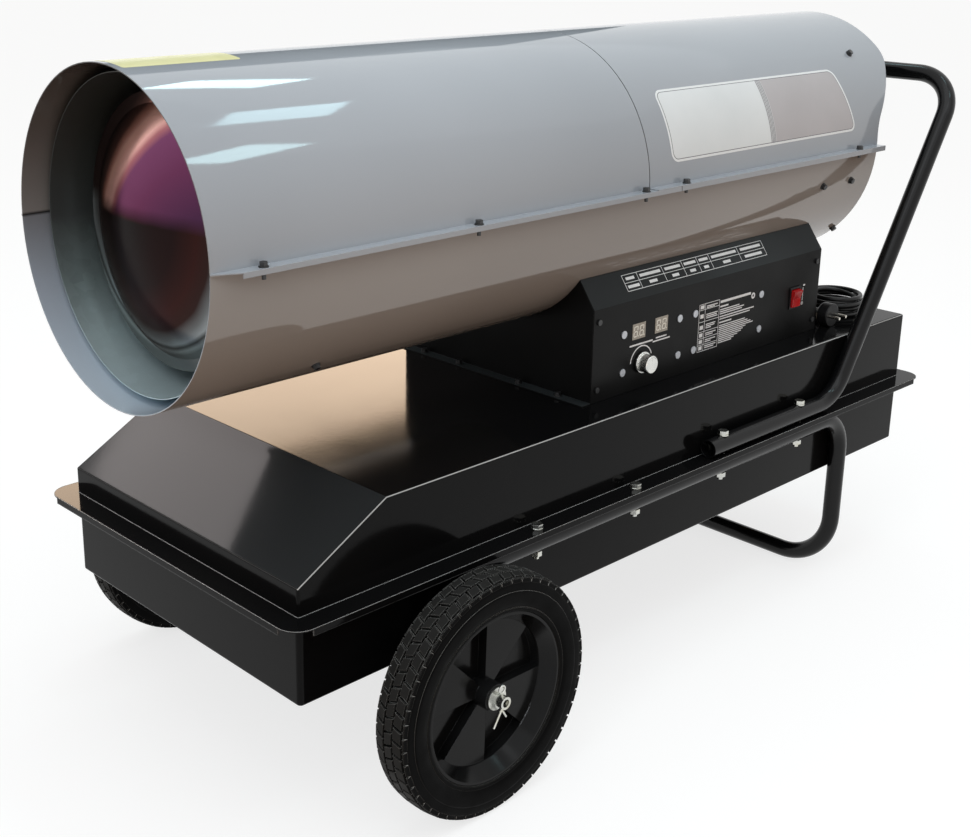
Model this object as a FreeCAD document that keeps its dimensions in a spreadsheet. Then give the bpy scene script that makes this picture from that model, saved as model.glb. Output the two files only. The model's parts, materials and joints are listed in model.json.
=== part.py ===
import FreeCAD, Part
import math
import os
import re

import Sketcher

# Driving dimensions, in millimetres and degrees, by group.
SIZES = {
    "tank": {
        "tank_length": 1274, "tank_width": 472, "tank_floor": 183, "pan_depth": 110,
        "cover_height": 108, "skirt_height": 36, "slope_run": 129, "tank_wall": 1.5, "tank_bend": 3,
        "flange_width": 30, "flange_corner": 28, "flange_fold": 9, "fit_gap": 0.3,
    },
    "filler": {
        "filler_back": 92, "filler_edge": 86, "neck_radius": 30, "neck_height": 22, "neck_wall": 1.5,
        "neck_flange": 12, "gasket_height": 3, "cap_radius": 39, "cap_height": 26, "cap_wall": 3,
        "cap_ribs": 18, "cap_rib": 2.5, "strainer_depth": 70, "strainer_wall": 1,
    },
    "fuel supply": {
        "pickup_setback": 760, "pickup_side": 42, "pickup_radius": 4, "pickup_flange": 20,
        "pickup_plate": 6, "pickup_clear": 12,
        "filter_radius": 16, "filter_length": 45, "line_radius": 4, "line_bend": 18,
        "drain_back": 124, "drain_radius": 7, "drain_hex": 19, "drain_head": 8, "drain_shank": 10,
        "drain_washer": 1.6, "drain_rim": 13,
    },
    "tube": {
        "tube_overhang": 69.5, "tube_setback": 69.5, "tube_radius": 195, "tube_axis": 683.5,
        "shell_wall": 1.2,
        "front_shell_length": 697, "shell_gap": 1.5, "lip_width": 15, "lip_fold": 6.5, "lip_taper": 30,
        "lip_tongue": 51, "lip_step": 1.2, "cable_hole": 26,
        "hood_reach": 84, "hood_start": 32.5, "hood_rise": 134, "hood_low_round": 60, "hood_high_round": 40,
    },
    "screws": {
        "screw_radius": 2.4, "screw_hex": 8, "screw_head": 4.5, "screw_flange": 5.6, "screw_rim": 1.2,
        "seam_shank": 13, "radial_shank": 7, "screw_slack": 0.1,
    },
    "burner": {
        "shield_inset": 30, "shield_gap": 12, "shield_length": 640, "shield_wall": 1, "spacer_width": 22,
        "spacer_front": 158, "spacer_rear": 570, "spacer_angle": 50.5,
        "dome_inset": 75, "dome_rim": 5, "dome_flange": 14, "dome_bulge": 36, "dome_wall": 1.5,
        "chamber_inset": 87, "chamber_gap": 28, "chamber_length": 560, "chamber_wall": 1.2,
        "clip_width": 14, "clip_wall": 1.5, "clip_reach": 16,
        "burner_radius": 60, "burner_depth": 55, "burner_wall": 2, "burner_flange": 14,
        "nozzle_radius": 9, "nozzle_length": 60, "nozzle_tip": 4, "nozzle_cone": 12,
        "electrode_offset": 26, "electrode_radius": 5, "electrode_length": 58, "wire_radius": 1.3,
        "wire_reach": 16,
    },
    "blower": {
        "fan_back": 274, "fan_hub_radius": 34, "fan_hub_length": 40, "fan_clear": 30, "fan_blades": 6,
        "blade_chord": 56, "blade_wall": 2, "blade_pitch": 36, "shaft_radius": 6, "running_gap": 0.05,
        "motor_back": 204, "motor_radius": 62, "motor_length": 140, "motor_bell": 8,
        "pump_length": 40, "pump_radius": 48, "tray_back": 164, "tray_length": 127, "tray_wall": 2,
        "tray_upturn": 34, "tray_screw_back": 140, "tray_screw_pitch": 79, "tray_screw_angle": 14.5,
        "guard_back": 3, "guard_wire": 2, "guard_rings": 7, "guard_first": 30, "guard_clear": 9,
        "guard_spokes": 8, "guard_tab": 16, "guard_tab_reach": 18, "guard_screw_angle": 46,
        "guard_screw_back": 6,
    },
    "control box": {
        "box_setback": 538.5, "box_length": 546, "panel_inset": 10, "panel_height": 131,
        "shoulder_gap": 0.2,
        "shoulder_run": 27, "box_wall": 1.5, "box_return": 22, "foot_width": 18,
        "foot_screw_near": 60, "foot_screw_far": 134,
        "board_wall": 1.6, "board_gap": 11, "board_margin": 8, "board_one_left": 64, "board_one_right": 187,
        "board_two_left": 223.5, "board_two_right": 387, "rivet_low": 31.2, "rivet_high": 85.5,
        "rivet_head": 5.5, "rivet_rim": 1.4, "rivet_shank": 2,
        "display_first": 96, "display_pitch": 49.5, "display_rise": 85, "display_width": 28,
        "display_height": 22.5, "display_proud": 0.6,
        "knob_setback": 104.5, "knob_rise": 38.5, "knob_radius": 13, "knob_length": 19, "knob_skirt": 15.5,
        "knob_skirt_length": 4, "knob_stand": 1, "knob_bore": 9, "knob_pointer": 1.6,
        "spindle_radius": 3, "bushing_radius": 5, "bushing_length": 8, "pot_radius": 9, "pot_length": 9,
        "switch_setback": 479, "switch_rise": 64, "switch_width": 28, "switch_height": 34,
        "switch_rim": 2, "switch_wall": 1.5, "switch_depth": 24, "rocker_width": 22, "rocker_height": 26,
        "rocker_depth": 11, "rocker_tilt": 9, "rocker_pin": 1.8,
        "panel_screw_edge": 11, "panel_screw_low": 18, "panel_screw_high": 113, "panel_screw_radius": 2,
        "panel_screw_head": 4, "panel_screw_rim": 2.2, "panel_screw_length": 8,
        "transformer_length": 96, "transformer_width": 70, "transformer_height": 62,
        "transformer_setback": 300, "transformer_side": 40, "transformer_foot": 14,
        "transformer_foot_wall": 2,
    },
    "wheels": {
        "wheel_diameter": 305, "tyre_width": 51, "wheel_setback": 213.5, "wheel_stand": 62.5,
        "rim_radius": 108, "rim_width": 44, "rim_lip": 4, "rim_seat": 103, "rim_wall": 4, "rim_flare": 8,
        "tyre_shoulder": 12, "tyre_crown": 4, "tread_flat": 10,
        "hub_radius": 17.5, "hub_out": 20, "hub_in": 27, "plate_front": 3, "plate_back": 13, "plate_wall": 3,
        "plate_angle": 45, "plate_first": 44, "web_wall": 3,
        "axle_diameter": 16, "axle_wall": 3, "axle_end": 14, "axle_gap": 0.05, "axle_washer_radius": 14.5,
        "axle_washer": 2, "spacer_radius": 12, "end_play": 0.3,
        "pin_radius": 1.7, "pin_back": 7, "pin_eye": 4.5, "pin_leg": 24, "pin_spread": 32, "pin_stand": 11,
    },
    "frame": {
        "rail_diameter": 27, "rail_wall": 2, "rail_bend": 60, "foot_bend": 85, "leg_setback": 1077.5,
        "rail_drop": 26,
        "handle_overhang": 80, "handle_height": 788.5, "handle_rake": 31.6, "handle_start": 722,
        "handle_low_bend": 75, "handle_top_bend": 70,
        "bolt_first": 366.5, "bolt_pitch": 195, "bolt_radius": 4, "bolt_hex": 13, "bolt_head": 5.3,
        "bolt_slack": 0.3, "bolt_tail": 4, "nut_height": 6.5, "washer_radius": 8, "washer": 1.6,
    },
    "power cord": {
        "cord_diameter": 7.5, "cord_layers": 4, "cord_turns": 1.5, "cord_pitch": 8.2, "coil_radius": 46,
        "coil_back": 121.75, "coil_side": 145,
        "gland_length": 28, "gland_radius": 11, "gland_tip": 5.5, "gland_collar": 5, "gland_side": 65,
        "gland_rise": 21, "gland_thread": 8,
        "plug_radius": 19, "plug_length": 38, "plug_neck": 7, "plug_back": 30.75, "plug_side": 159,
        "prong_radius": 2.4, "prong_length": 19, "prong_pitch": 19, "prong_root": 8,
    },
}

# Places and sizes that follow from the driving dimensions.
PLACES = {
    "tank_front": "(tube_overhang - tank_length - handle_overhang) / 2",
    "tank_rear": "tank_front + tank_length",
    "tank_side": "tank_width / 2",
    "flange_height": "tank_floor + pan_depth",
    "tank_top": "flange_height + cover_height",
    "slope_rate": "(cover_height - skirt_height) / slope_run",
    "slope_secant": "sqrt(1 + slope_rate ^ 2)",
    "filler_place": "tank_rear - filler_back",
    "filler_side": "tank_side - filler_edge",
    "pickup_place": "tank_front + pickup_setback",
    "drain_place": "tank_rear - drain_back",
    "neck_top": "tank_top + neck_height",
    "tube_front": "tank_front - tube_overhang",
    "tube_rear": "tank_rear - tube_setback",
    "tube_length": "tube_rear - tube_front",
    "hood_rear": "tube_rear + hood_reach",
    "tube_bore": "tube_radius - shell_wall",
    "shell_split": "tube_front + front_shell_length",
    "seam_line": "tube_radius + lip_width * 0.55",
    "shield_front": "tube_front + shield_inset",
    "shield_radius": "tube_radius - shield_gap",
    "chamber_radius": "shield_radius - chamber_gap",
    "dome_radius": "chamber_radius + dome_rim",
    "dome_crown": "dome_radius - dome_flange",
    "fan_radius": "tube_radius - fan_clear",
    "dome_face": "tube_front + dome_inset",
    "chamber_front": "tube_front + chamber_inset",
    "chamber_rear": "chamber_front + chamber_length",
    "burner_rear": "chamber_rear + burner_depth",
    "fan_front": "tube_rear - fan_back",
    "motor_front": "tube_rear - motor_back",
    "motor_rear": "motor_front + motor_length",
    "pump_rear": "motor_rear + pump_length",
    "tray_front": "tube_rear - tray_back",
    "guard_place": "tube_rear - guard_back",
    "guard_rim": "tube_radius - guard_clear",
    "guard_pitch": "(guard_rim - guard_first) / (guard_rings - 1)",
    "box_front": "tank_front + box_setback",
    "box_rear": "box_front + box_length",
    "box_side": "tube_radius - panel_inset",
    "panel_top": "tank_top + panel_height",
    "shoulder_side": "box_side - shoulder_run",
    "shoulder_top": "tube_axis - sqrt(tube_radius ^ 2 - shoulder_side ^ 2) - shoulder_gap",
    "shoulder_rise": "shoulder_top - panel_top",
    "shoulder_rate": "shoulder_rise / shoulder_run",
    "shoulder_secant": "sqrt(1 + shoulder_rate ^ 2)",
    "board_face": "box_side - box_wall - board_gap",
    "knob_place": "box_front + knob_setback",
    "knob_level": "tank_top + knob_rise",
    "switch_place": "box_front + switch_setback",
    "switch_level": "tank_top + switch_rise",
    "display_level": "tank_top + display_rise",
    "wheel_place": "tank_front + wheel_setback",
    "wheel_side": "rail_side + wheel_stand",
    "axle_height": "wheel_diameter / 2",
    "axle_radius": "axle_diameter / 2",
    "axle_half": "wheel_side + hub_out + axle_washer + end_play * 2 + axle_end",
    "rail_radius": "rail_diameter / 2",
    "rail_side": "tank_side + flange_width / 2",
    "rail_height": "flange_height - tank_wall - rail_radius",
    "leg_place": "tank_front + leg_setback",
    "handle_low": "flange_height + tank_wall + rail_radius",
    "handle_bar": "tank_rear + handle_overhang - rail_radius",
    "handle_corner": "handle_bar - (handle_height - handle_low) * tan(handle_rake)",
    "cord_radius": "cord_diameter / 2",
    "cord_bed": "tank_top + cord_radius",
    "gland_level": "tank_top + gland_rise",
    "plug_level": "tank_top + plug_radius",
}

# Where the seam screws stand along the tube.
SEAM_SCREWS = ["tube_front + 60", "tube_front + 371", "shell_split - 16", "shell_split + 70",
               "tube_rear - 66"]

SIDES = {"left": -1, "right": 1}
X_AXIS = FreeCAD.Vector(1, 0, 0)
Y_AXIS = FreeCAD.Vector(0, 1, 0)
Z_AXIS = FreeCAD.Vector(0, 0, 1)
# Turns that point a cylinder's own axis, its Z, along a named direction.
ROD_TURNS = {
    "x": FreeCAD.Rotation(Y_AXIS, 90), "y": FreeCAD.Rotation(X_AXIS, -90), "z": FreeCAD.Rotation(),
    "-x": FreeCAD.Rotation(Y_AXIS, -90), "-y": FreeCAD.Rotation(X_AXIS, 90),
    "-z": FreeCAD.Rotation(X_AXIS, 180),
}
# Turns that point a turned body's own axis, its X, along a named direction.
SPIN_TURNS = {
    "x": FreeCAD.Rotation(), "y": FreeCAD.Rotation(Z_AXIS, 90), "z": FreeCAD.Rotation(Y_AXIS, -90),
    "-x": FreeCAD.Rotation(Z_AXIS, 180), "-y": FreeCAD.Rotation(Z_AXIS, -90),
    "-z": FreeCAD.Rotation(Y_AXIS, 90),
}
# A turn that lays a half cylinder along X with its round side up, and one with its round side down.
HALF_UP = FreeCAD.Rotation(Y_AXIS, Z_AXIS, X_AXIS, "ZXY")
HALF_DOWN = FreeCAD.Rotation(Y_AXIS.negative(), Z_AXIS.negative(), X_AXIS, "ZXY")

doc = FreeCAD.newDocument("heater")
sheet = doc.addObject("Spreadsheet::Sheet", "Sizes")
ALIASES = set()
NODES = {}
made_names = {}


def fill_sheet():
    row = 1
    for group, sizes in SIZES.items():
        sheet.set("A%d" % row, group)
        row += 1
        for name, value in sizes.items():
            sheet.set("A%d" % row, name)
            sheet.set("B%d" % row, str(value))
            sheet.setAlias("B%d" % row, name)
            ALIASES.add(name)
            row += 1
    doc.recompute()


def formula(text):
    """Spell a formula out in the sheet's own names."""
    def spell(found):
        word = found.group(0)
        if word in PLACES:
            return "(" + formula(PLACES[word]) + ")"
        return "Sizes." + word if word in ALIASES else word
    return re.sub(r"[a-z_]+", spell, str(text))


def number(text):
    """Work a formula out."""
    value = sheet.evalExpression(formula(text))
    return float(getattr(value, "Value", value))


def vector(x, y, z):
    return FreeCAD.Vector(number(x), number(y), number(z))


def new_object(kind, name):
    made_names[name] = made_names.get(name, 0) + 1
    return doc.addObject(kind, "%s_%d" % (name, made_names[name]))


def bind(thing, **formulas):
    for name, text in formulas.items():
        thing.setExpression(name, formula(text))


def place(thing, x=0, y=0, z=0, turn=None):
    thing.Placement = FreeCAD.Placement(vector(x, y, z), turn or FreeCAD.Rotation())
    for axis, text in zip("xyz", (x, y, z)):
        thing.setExpression("Placement.Base." + axis, formula(text))


def keep(label, thing):
    thing.Label = label
    NODES[label] = thing
    return thing


def block(name, low, high):
    """A box between two corners."""
    box = new_object("Part::Box", name)
    spans = ["(%s) - (%s)" % (far, near) for near, far in zip(low, high)]
    bind(box, Length=spans[0], Width=spans[1], Height=spans[2])
    place(box, *low)
    return box


def rod(name, start, axis, length, radius):
    """A cylinder from a point along a named direction, or along a given turn."""
    cylinder = new_object("Part::Cylinder", name)
    bind(cylinder, Radius=radius, Height=length)
    place(cylinder, *start, turn=ROD_TURNS[axis] if isinstance(axis, str) else axis)
    return cylinder


def hexagon(name, start, axis, height, width):
    """A hexagonal prism, its width measured across the flats."""
    prism = new_object("Part::Prism", name)
    prism.Polygon = 6
    bind(prism, Circumradius="(%s) / sqrt(3)" % width, Height=height)
    place(prism, *start, turn=ROD_TURNS[axis])
    return prism


def fuse(name, *things):
    union = new_object("Part::MultiFuse", name)
    union.Shapes = list(things)
    union.Refine = True
    return union


def group(name, things):
    bunch = new_object("Part::Compound", name)
    bunch.Links = list(things)
    return bunch


def cut(name, base, *tools):
    difference = new_object("Part::Cut", name)
    difference.Base = base
    difference.Tool = tools[0] if len(tools) == 1 else fuse(name + "_tools", *tools)
    return difference


def common(name, *things):
    meeting = new_object("Part::MultiCommon", name)
    meeting.Shapes = list(things)
    return meeting


def mirror(name, thing):
    """A copy on the other side of the middle plane, Y = 0."""
    twin = new_object("Part::Mirroring", name)
    twin.Source = thing
    twin.Normal = Y_AXIS
    return twin


def copies(name, master, spots):
    """Links to one master, each at its own (x, y, z, turn)."""
    links = []
    for x, y, z, turn in spots:
        link = new_object("App::Link", name + "_copy")
        link.LinkedObject = master
        place(link, x, y, z, turn)
        links.append(link)
    return group(name, links)


def plane_of(body, role):
    return next(plane for plane in body.Origin.OriginFeatures if plane.Role == role)


def draw_loop(sketch, corners):
    """Draw a closed outline whose corners are (u, v) or (u, v, rounding), all formulas."""
    spots = [FreeCAD.Vector(number(corner[0]), number(corner[1]), 0) for corner in corners]
    count = len(corners)
    leave = []
    arrive = []
    arcs = []
    for index, corner in enumerate(corners):
        here = spots[index]
        if len(corner) == 2:
            leave.append(here)
            arrive.append(here)
            arcs.append(None)
            continue
        back = (spots[index - 1] - here).normalize()
        ahead = (spots[(index + 1) % count] - here).normalize()
        half = back.getAngle(ahead) / 2
        radius = number(corner[2])
        start = here + back * (radius / math.tan(half))
        end = here + ahead * (radius / math.tan(half))
        middle_line = (back + ahead).normalize()
        middle = here + middle_line * (radius / math.sin(half) - radius)
        arrive.append(start)
        leave.append(end)
        arcs.append(Part.Arc(start, middle, end))
    lines = [sketch.addGeometry(Part.LineSegment(leave[i], arrive[(i + 1) % count]),
                                False) for i in range(count)]
    for index, corner in enumerate(corners):
        before = lines[index - 1]
        after = lines[index]
        if arcs[index] is None:
            sketch.addConstraint(Sketcher.Constraint("Coincident", before, 2, after, 1))
            tie_point(sketch, after, 1, corner)
            continue
        arc = sketch.addGeometry(arcs[index], False)
        turns_left = bend_of(spots, index).z > 0
        ends = (1, 2) if turns_left else (2, 1)
        sketch.addConstraint(Sketcher.Constraint("Tangent", before, 2, arc, ends[0]))
        sketch.addConstraint(Sketcher.Constraint("Tangent", arc, ends[1], after, 1))
        rounding = sketch.addConstraint(Sketcher.Constraint("Radius", arc, number(corner[2])))
        sketch.setExpression("Constraints[%d]" % rounding, formula(corner[2]))
        apex = sketch.addGeometry(Part.Point(spots[index]), True)
        sketch.addConstraint(Sketcher.Constraint("PointOnObject", apex, 1, before))
        sketch.addConstraint(Sketcher.Constraint("PointOnObject", apex, 1, after))
        tie_point(sketch, apex, 1, corner)


def bend_of(spots, index):
    """The cross product of an outline's run into a corner and its run out of it."""
    after = spots[(index + 1) % len(spots)]
    return (spots[index] - spots[index - 1]).cross(after - spots[index])


def tie_point(sketch, geometry, end, corner):
    """Hold a sketch point at its two formulas."""
    for kind, axis, text in (("DistanceX", -2, corner[0]), ("DistanceY", -1, corner[1])):
        if str(text) == "0":
            sketch.addConstraint(Sketcher.Constraint("PointOnObject", geometry, end, axis))
            continue
        held = sketch.addConstraint(Sketcher.Constraint(kind, -1, 1, geometry, end, number(text)))
        sketch.setExpression("Constraints[%d]" % held, formula(text))


def new_sketch(body, role, loops, offset):
    sketch = body.newObject("Sketcher::SketchObject", body.Name + "_outline")
    sketch.AttachmentSupport = [(plane_of(body, role), "")]
    sketch.MapMode = "FlatFace"
    if offset != 0:
        sketch.setExpression("AttachmentOffset.Base.z", formula(offset))
    for corners in loops:
        draw_loop(sketch, corners)
    return sketch


def pad(name, role, loops, length, offset=0, both_ways=False):
    """A body made by padding outlines drawn on one of its origin planes."""
    body = new_object("PartDesign::Body", name)
    sketch = new_sketch(body, role, loops, offset)
    feature = body.newObject("PartDesign::Pad", body.Name + "_pad")
    feature.Profile = sketch
    feature.setExpression("Length", formula(length))
    feature.SideType = "Symmetric" if both_ways else "One side"
    return body


def spin(name, corners, spot=(0, 0, 0), axis="x"):
    """A body turned about its own X axis from an outline of (along, radius) corners."""
    body = new_object("PartDesign::Body", name)
    sketch = new_sketch(body, "XZ_Plane", [corners], 0)
    feature = body.newObject("PartDesign::Revolution", body.Name + "_turned")
    feature.Profile = sketch
    feature.ReferenceAxis = (sketch, ["H_Axis"])
    feature.Angle = 360
    place(body, *spot, turn=SPIN_TURNS[axis])
    return body


def round_edges(body, radius, chosen):
    """Round the edges of a body's last feature that the test picks."""
    doc.recompute()
    base = body.Tip
    names = ["Edge%d" % (i + 1) for i, edge in enumerate(base.Shape.Edges) if chosen(edge)]
    feature = body.newObject("PartDesign::Fillet", body.Name + "_rounds")
    feature.Base = (base, names)
    feature.setExpression("Radius", formula(radius))
    return body


def rectangle(x_low, x_high, half_width, rounding=None):
    corners = [(x_low, "-(%s)" % half_width), (x_high, "-(%s)" % half_width), (x_high, half_width),
               (x_low, half_width)]
    return [corner + (rounding,) for corner in corners] if rounding else corners


def bent_wire(points, radii):
    """Straight runs joined by tangent arcs, one radius for each inner point."""
    edges = []
    start = points[0]
    for before, corner, after, radius in zip(points, points[1:], points[2:], radii):
        back = (before - corner).normalize()
        ahead = (after - corner).normalize()
        half = back.getAngle(ahead) / 2
        reach = radius / math.tan(half)
        middle = corner + (back + ahead).normalize() * (radius / math.sin(half) - radius)
        edges.append(Part.LineSegment(start, corner + back * reach).toShape())
        edges.append(Part.Arc(corner + back * reach, middle, corner + ahead * reach).toShape())
        start = corner + ahead * reach
    edges.append(Part.LineSegment(start, points[-1]).toShape())
    return Part.Wire(edges)


def swept(wire, start, heading, radius):
    """A solid of round section along a wire."""
    section = Part.Wire(Part.Circle(start, heading, radius).toShape())
    return wire.makePipeShell([section], True, False)


def feature_of(name, shape):
    thing = new_object("Part::Feature", name)
    thing.Shape = shape
    return thing


def bent_tube(name, points, radii, radius, wall=None):
    """A tube, hollow if it has a wall, along straight runs and arcs."""
    wire = bent_wire(points, radii)
    heading = points[1] - points[0]
    solid = swept(wire, points[0], heading, radius)
    expected = math.pi * radius ** 2 * wire.Length
    if abs(solid.Volume / expected - 1) > 0.01:
        raise ValueError("the volume of %s is not its section times its length" % name)
    if wall:
        solid = solid.cut(swept(wire, points[0], heading, radius - wall))
    return feature_of(name, solid)


def make_tank():
    """The fuel tank: a deep pan and a sloped cover, welded at their flanges."""
    bolts = [("tank_front + bolt_first + bolt_pitch * %d" % i, "rail_side * %d" % side)
             for side in SIDES.values() for i in range(4)]
    drill = rod("bolt_drill", (0, 0, "flange_height - tank_wall * 2"), "z", "tank_wall * 4",
                "bolt_radius + bolt_slack")
    bolt_holes = copies("bolt_holes", drill,
                        [(x, y, "flange_height - tank_wall * 2", None) for x, y in bolts])

    outer = pad("pan_outer", "XY_Plane",
                [rectangle("tank_front", "tank_rear", "tank_side", "tank_bend * 2")],
                "pan_depth", "tank_floor")
    round_edges(outer, "tank_bend", lambda edge: edge.BoundBox.ZMax < number("tank_floor + tank_wall"))
    pan_reach = "flange_width - tank_wall - fit_gap"
    flange = pad("pan_flange", "XY_Plane",
                 [rectangle("tank_front - (%s)" % pan_reach, "tank_rear + (%s)" % pan_reach,
                            "tank_side + (%s)" % pan_reach, "flange_corner")],
                 "tank_wall", "flange_height - tank_wall")
    inner = pad("pan_inner", "XY_Plane",
                [rectangle("tank_front + tank_wall", "tank_rear - tank_wall", "tank_side - tank_wall",
                           "tank_bend")],
                "pan_depth", "tank_floor + tank_wall")
    drain = rod("drain_hole", ("drain_place", 0, "tank_floor - tank_wall"), "z", "tank_wall * 3",
                "drain_radius + screw_slack")
    keep("tank_pan", cut("tank_pan", fuse("pan_blank", outer, flange), inner, bolt_holes, drain))

    profile = [("tank_front", "flange_height"), ("tank_front", "flange_height + skirt_height"),
               ("tank_front + slope_run", "tank_top"), ("tank_rear", "tank_top"),
               ("tank_rear", "flange_height")]
    hood = pad("cover_outer", "XZ_Plane", [profile], "tank_width", 0, True)
    round_edges(hood, "tank_bend", lambda edge: edge.BoundBox.ZMax > number("flange_height + tank_wall"))
    lip = pad("cover_flange", "XY_Plane",
              [rectangle("tank_front - flange_width", "tank_rear + flange_width",
                         "tank_side + flange_width",
                         "flange_corner")], "tank_wall", "flange_height")
    edge_low = "flange_height + tank_wall - flange_fold"
    edge_high = "flange_height + tank_wall"
    folds = []
    for side in SIDES.values():
        reach = ["(tank_side + flange_width - tank_wall) * %d" % side,
                 "(tank_side + flange_width) * %d" % side]
        reach = reach if side > 0 else reach[::-1]
        folds.append(block("side_fold", ("tank_front - flange_width + flange_corner", reach[0], edge_low),
                           ("tank_rear + flange_width - flange_corner", reach[1], edge_high)))
    fold_side = "tank_side + flange_width - flange_corner"
    for low, high in (("tank_front - flange_width", "tank_front - flange_width + tank_wall"),
                      ("tank_rear + flange_width - tank_wall", "tank_rear + flange_width")):
        folds.append(block("end_fold", (low, "-(%s)" % fold_side, edge_low), (high, fold_side, edge_high)))
    hollow = pad("cover_inner", "XZ_Plane",
                 [[("tank_front + tank_wall", "flange_height - tank_wall"),
                   ("tank_front + tank_wall",
                    "flange_height + skirt_height + tank_wall * (slope_rate - slope_secant)"),
                   ("tank_front + slope_run + tank_wall * (slope_secant - 1) / slope_rate",
                    "tank_top - tank_wall"),
                   ("tank_rear - tank_wall", "tank_top - tank_wall"),
                   ("tank_rear - tank_wall", "flange_height - tank_wall")]],
                 "tank_width - tank_wall * 2", 0, True)
    filler = rod("filler_hole", ("filler_place", "filler_side", "tank_top - tank_wall * 3"), "z",
                 "tank_wall * 5",
                 "neck_radius")
    pickup = rod("pickup_hole", ("pickup_place", "pickup_side", "tank_top - tank_wall * 3"), "z",
                 "tank_wall * 5",
                 "pickup_radius + screw_slack")
    drilled = [rod("foot_hole", (x, y, "tank_top - tank_wall * 3"), "z", "tank_wall * 5",
                   "screw_radius + screw_slack")
               for x, y in foot_spots()]
    keep("tank_cover",
         cut("tank_cover", fuse("cover_blank", hood, lip, *folds), hollow, bolt_holes, filler, pickup,
                           *drilled))


def foot_spots():
    """Where the control box's feet are screwed to the tank."""
    return [(x, "(%s) * %d" % (y, side)) for x in ("box_front - foot_width / 2",
                                                   "box_rear + foot_width / 2")
            for y in ("foot_screw_near", "foot_screw_far") for side in SIDES.values()
            if not (x.startswith("box_rear") and side < 0)]


def make_filler():
    """The filler neck with its strainer, gasket and screw cap, and the drain plug."""
    spot = ("filler_place", "filler_side", "tank_top")
    keep("filler_neck", spin("filler_neck",
         [("-tank_wall", "neck_radius - neck_wall"), ("neck_height", "neck_radius - neck_wall"),
          ("neck_height", "neck_radius"), ("neck_wall", "neck_radius"),
          ("neck_wall", "neck_radius + neck_flange"),
          (0, "neck_radius + neck_flange"), (0, "neck_radius"), ("-tank_wall", "neck_radius")], spot, "z"))
    inside = "neck_radius - neck_wall"
    strainer = spin("strainer_cup",
                    [("-strainer_depth", 0), ("-strainer_depth", inside + " - 4"), ("neck_height", inside),
                     ("neck_height", "neck_radius"), ("neck_height + strainer_wall", "neck_radius"),
                     ("neck_height + strainer_wall", inside + " - strainer_wall"),
                     ("-strainer_depth + strainer_wall", inside + " - 4 - strainer_wall"),
                     ("-strainer_depth + strainer_wall", 0)], spot, "z")
    keep("filler_strainer", strainer)
    seat = "neck_height + strainer_wall + fit_gap"
    keep("filler_gasket", spin("filler_gasket",
         [(seat, inside), (seat + " + gasket_height", inside), (seat + " + gasket_height", "neck_radius"),
          (seat, "neck_radius")], spot, "z"))
    roof = seat + " + gasket_height + fit_gap"
    shell = spin("cap_shell",
                 [(roof, 0), (roof, "cap_radius - cap_wall"),
                  (roof + " + cap_wall - cap_height", "cap_radius - cap_wall"),
                  (roof + " + cap_wall - cap_height", "cap_radius"),
                  (roof + " + cap_wall", "cap_radius", "cap_wall * 0.8"),
                  (roof + " + cap_wall", 0)], spot, "z")
    grips = []
    for i in range(int(number("cap_ribs"))):
        turn = "360 / cap_ribs * %d" % i
        grips.append(rod("cap_grip", ("filler_place + cap_radius * cos(%s)" % turn,
                                      "filler_side + cap_radius * sin(%s)" % turn,
                                      "tank_top + %s + cap_wall - cap_height" % roof), "z",
                         "cap_height - cap_wall",
                         "cap_rib / 2"))
    keep("filler_cap", fuse("filler_cap", shell, *grips))
    keep("drain_plug", fuse("drain_plug",
         rod("drain_collar", ("drain_place", 0, "tank_floor"), "-z", "drain_washer", "drain_rim"),
         hexagon("drain_head", ("drain_place", 0, "tank_floor - drain_washer"), "-z", "drain_head",
                 "drain_hex"),
         rod("drain_shank", ("drain_place", 0, "tank_floor - drain_washer"), "z",
             "drain_washer + drain_shank",
             "drain_radius")))


def make_fuel_supply():
    """The suction pipe with its filter, and the fuel and air lines to the nozzle."""
    bottom = "pan_depth + cover_height - tank_wall - pickup_clear"
    spot = ("pickup_place", "pickup_side", "tank_top")
    keep("fuel_pickup", spin("fuel_pickup",
         [("pickup_plate * 2", 0), ("pickup_plate * 2", "pickup_radius * 2"),
          ("pickup_plate", "pickup_radius * 2"),
          ("pickup_plate", "pickup_flange"), (0, "pickup_flange"), (0, "pickup_radius"),
          ("filter_length - (%s)" % bottom, "pickup_radius"),
          ("filter_length - (%s)" % bottom, "filter_radius", 2),
          ("-(%s)" % bottom, "filter_radius", 2), ("-(%s)" % bottom, 0)], spot, "z"))
    inlet = "burner_rear + nozzle_length - chamber_wall"
    bend = number("line_bend")
    keep("fuel_line", bent_tube("fuel_line",
         [vector("pickup_place", "pickup_side", "tank_top + pickup_plate * 2"),
          vector("pickup_place", "pickup_side", "tube_axis"), vector("pickup_place", 0, "tube_axis"),
          vector(inlet, 0, "tube_axis")], [bend, bend], number("line_radius")))
    low = "tube_axis - (tube_bore - line_radius * 2.5)"
    outlet = "pump_rear - line_radius * 1.5"
    meet = "burner_rear + nozzle_length * 0.78"
    keep("air_line", bent_tube("air_line",
         [vector(outlet, 0, "tube_axis - pump_radius"), vector(outlet, 0, low), vector(meet, 0, low),
          vector(meet, 0, "tube_axis - nozzle_radius")], [bend, bend], number("line_radius")))


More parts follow.
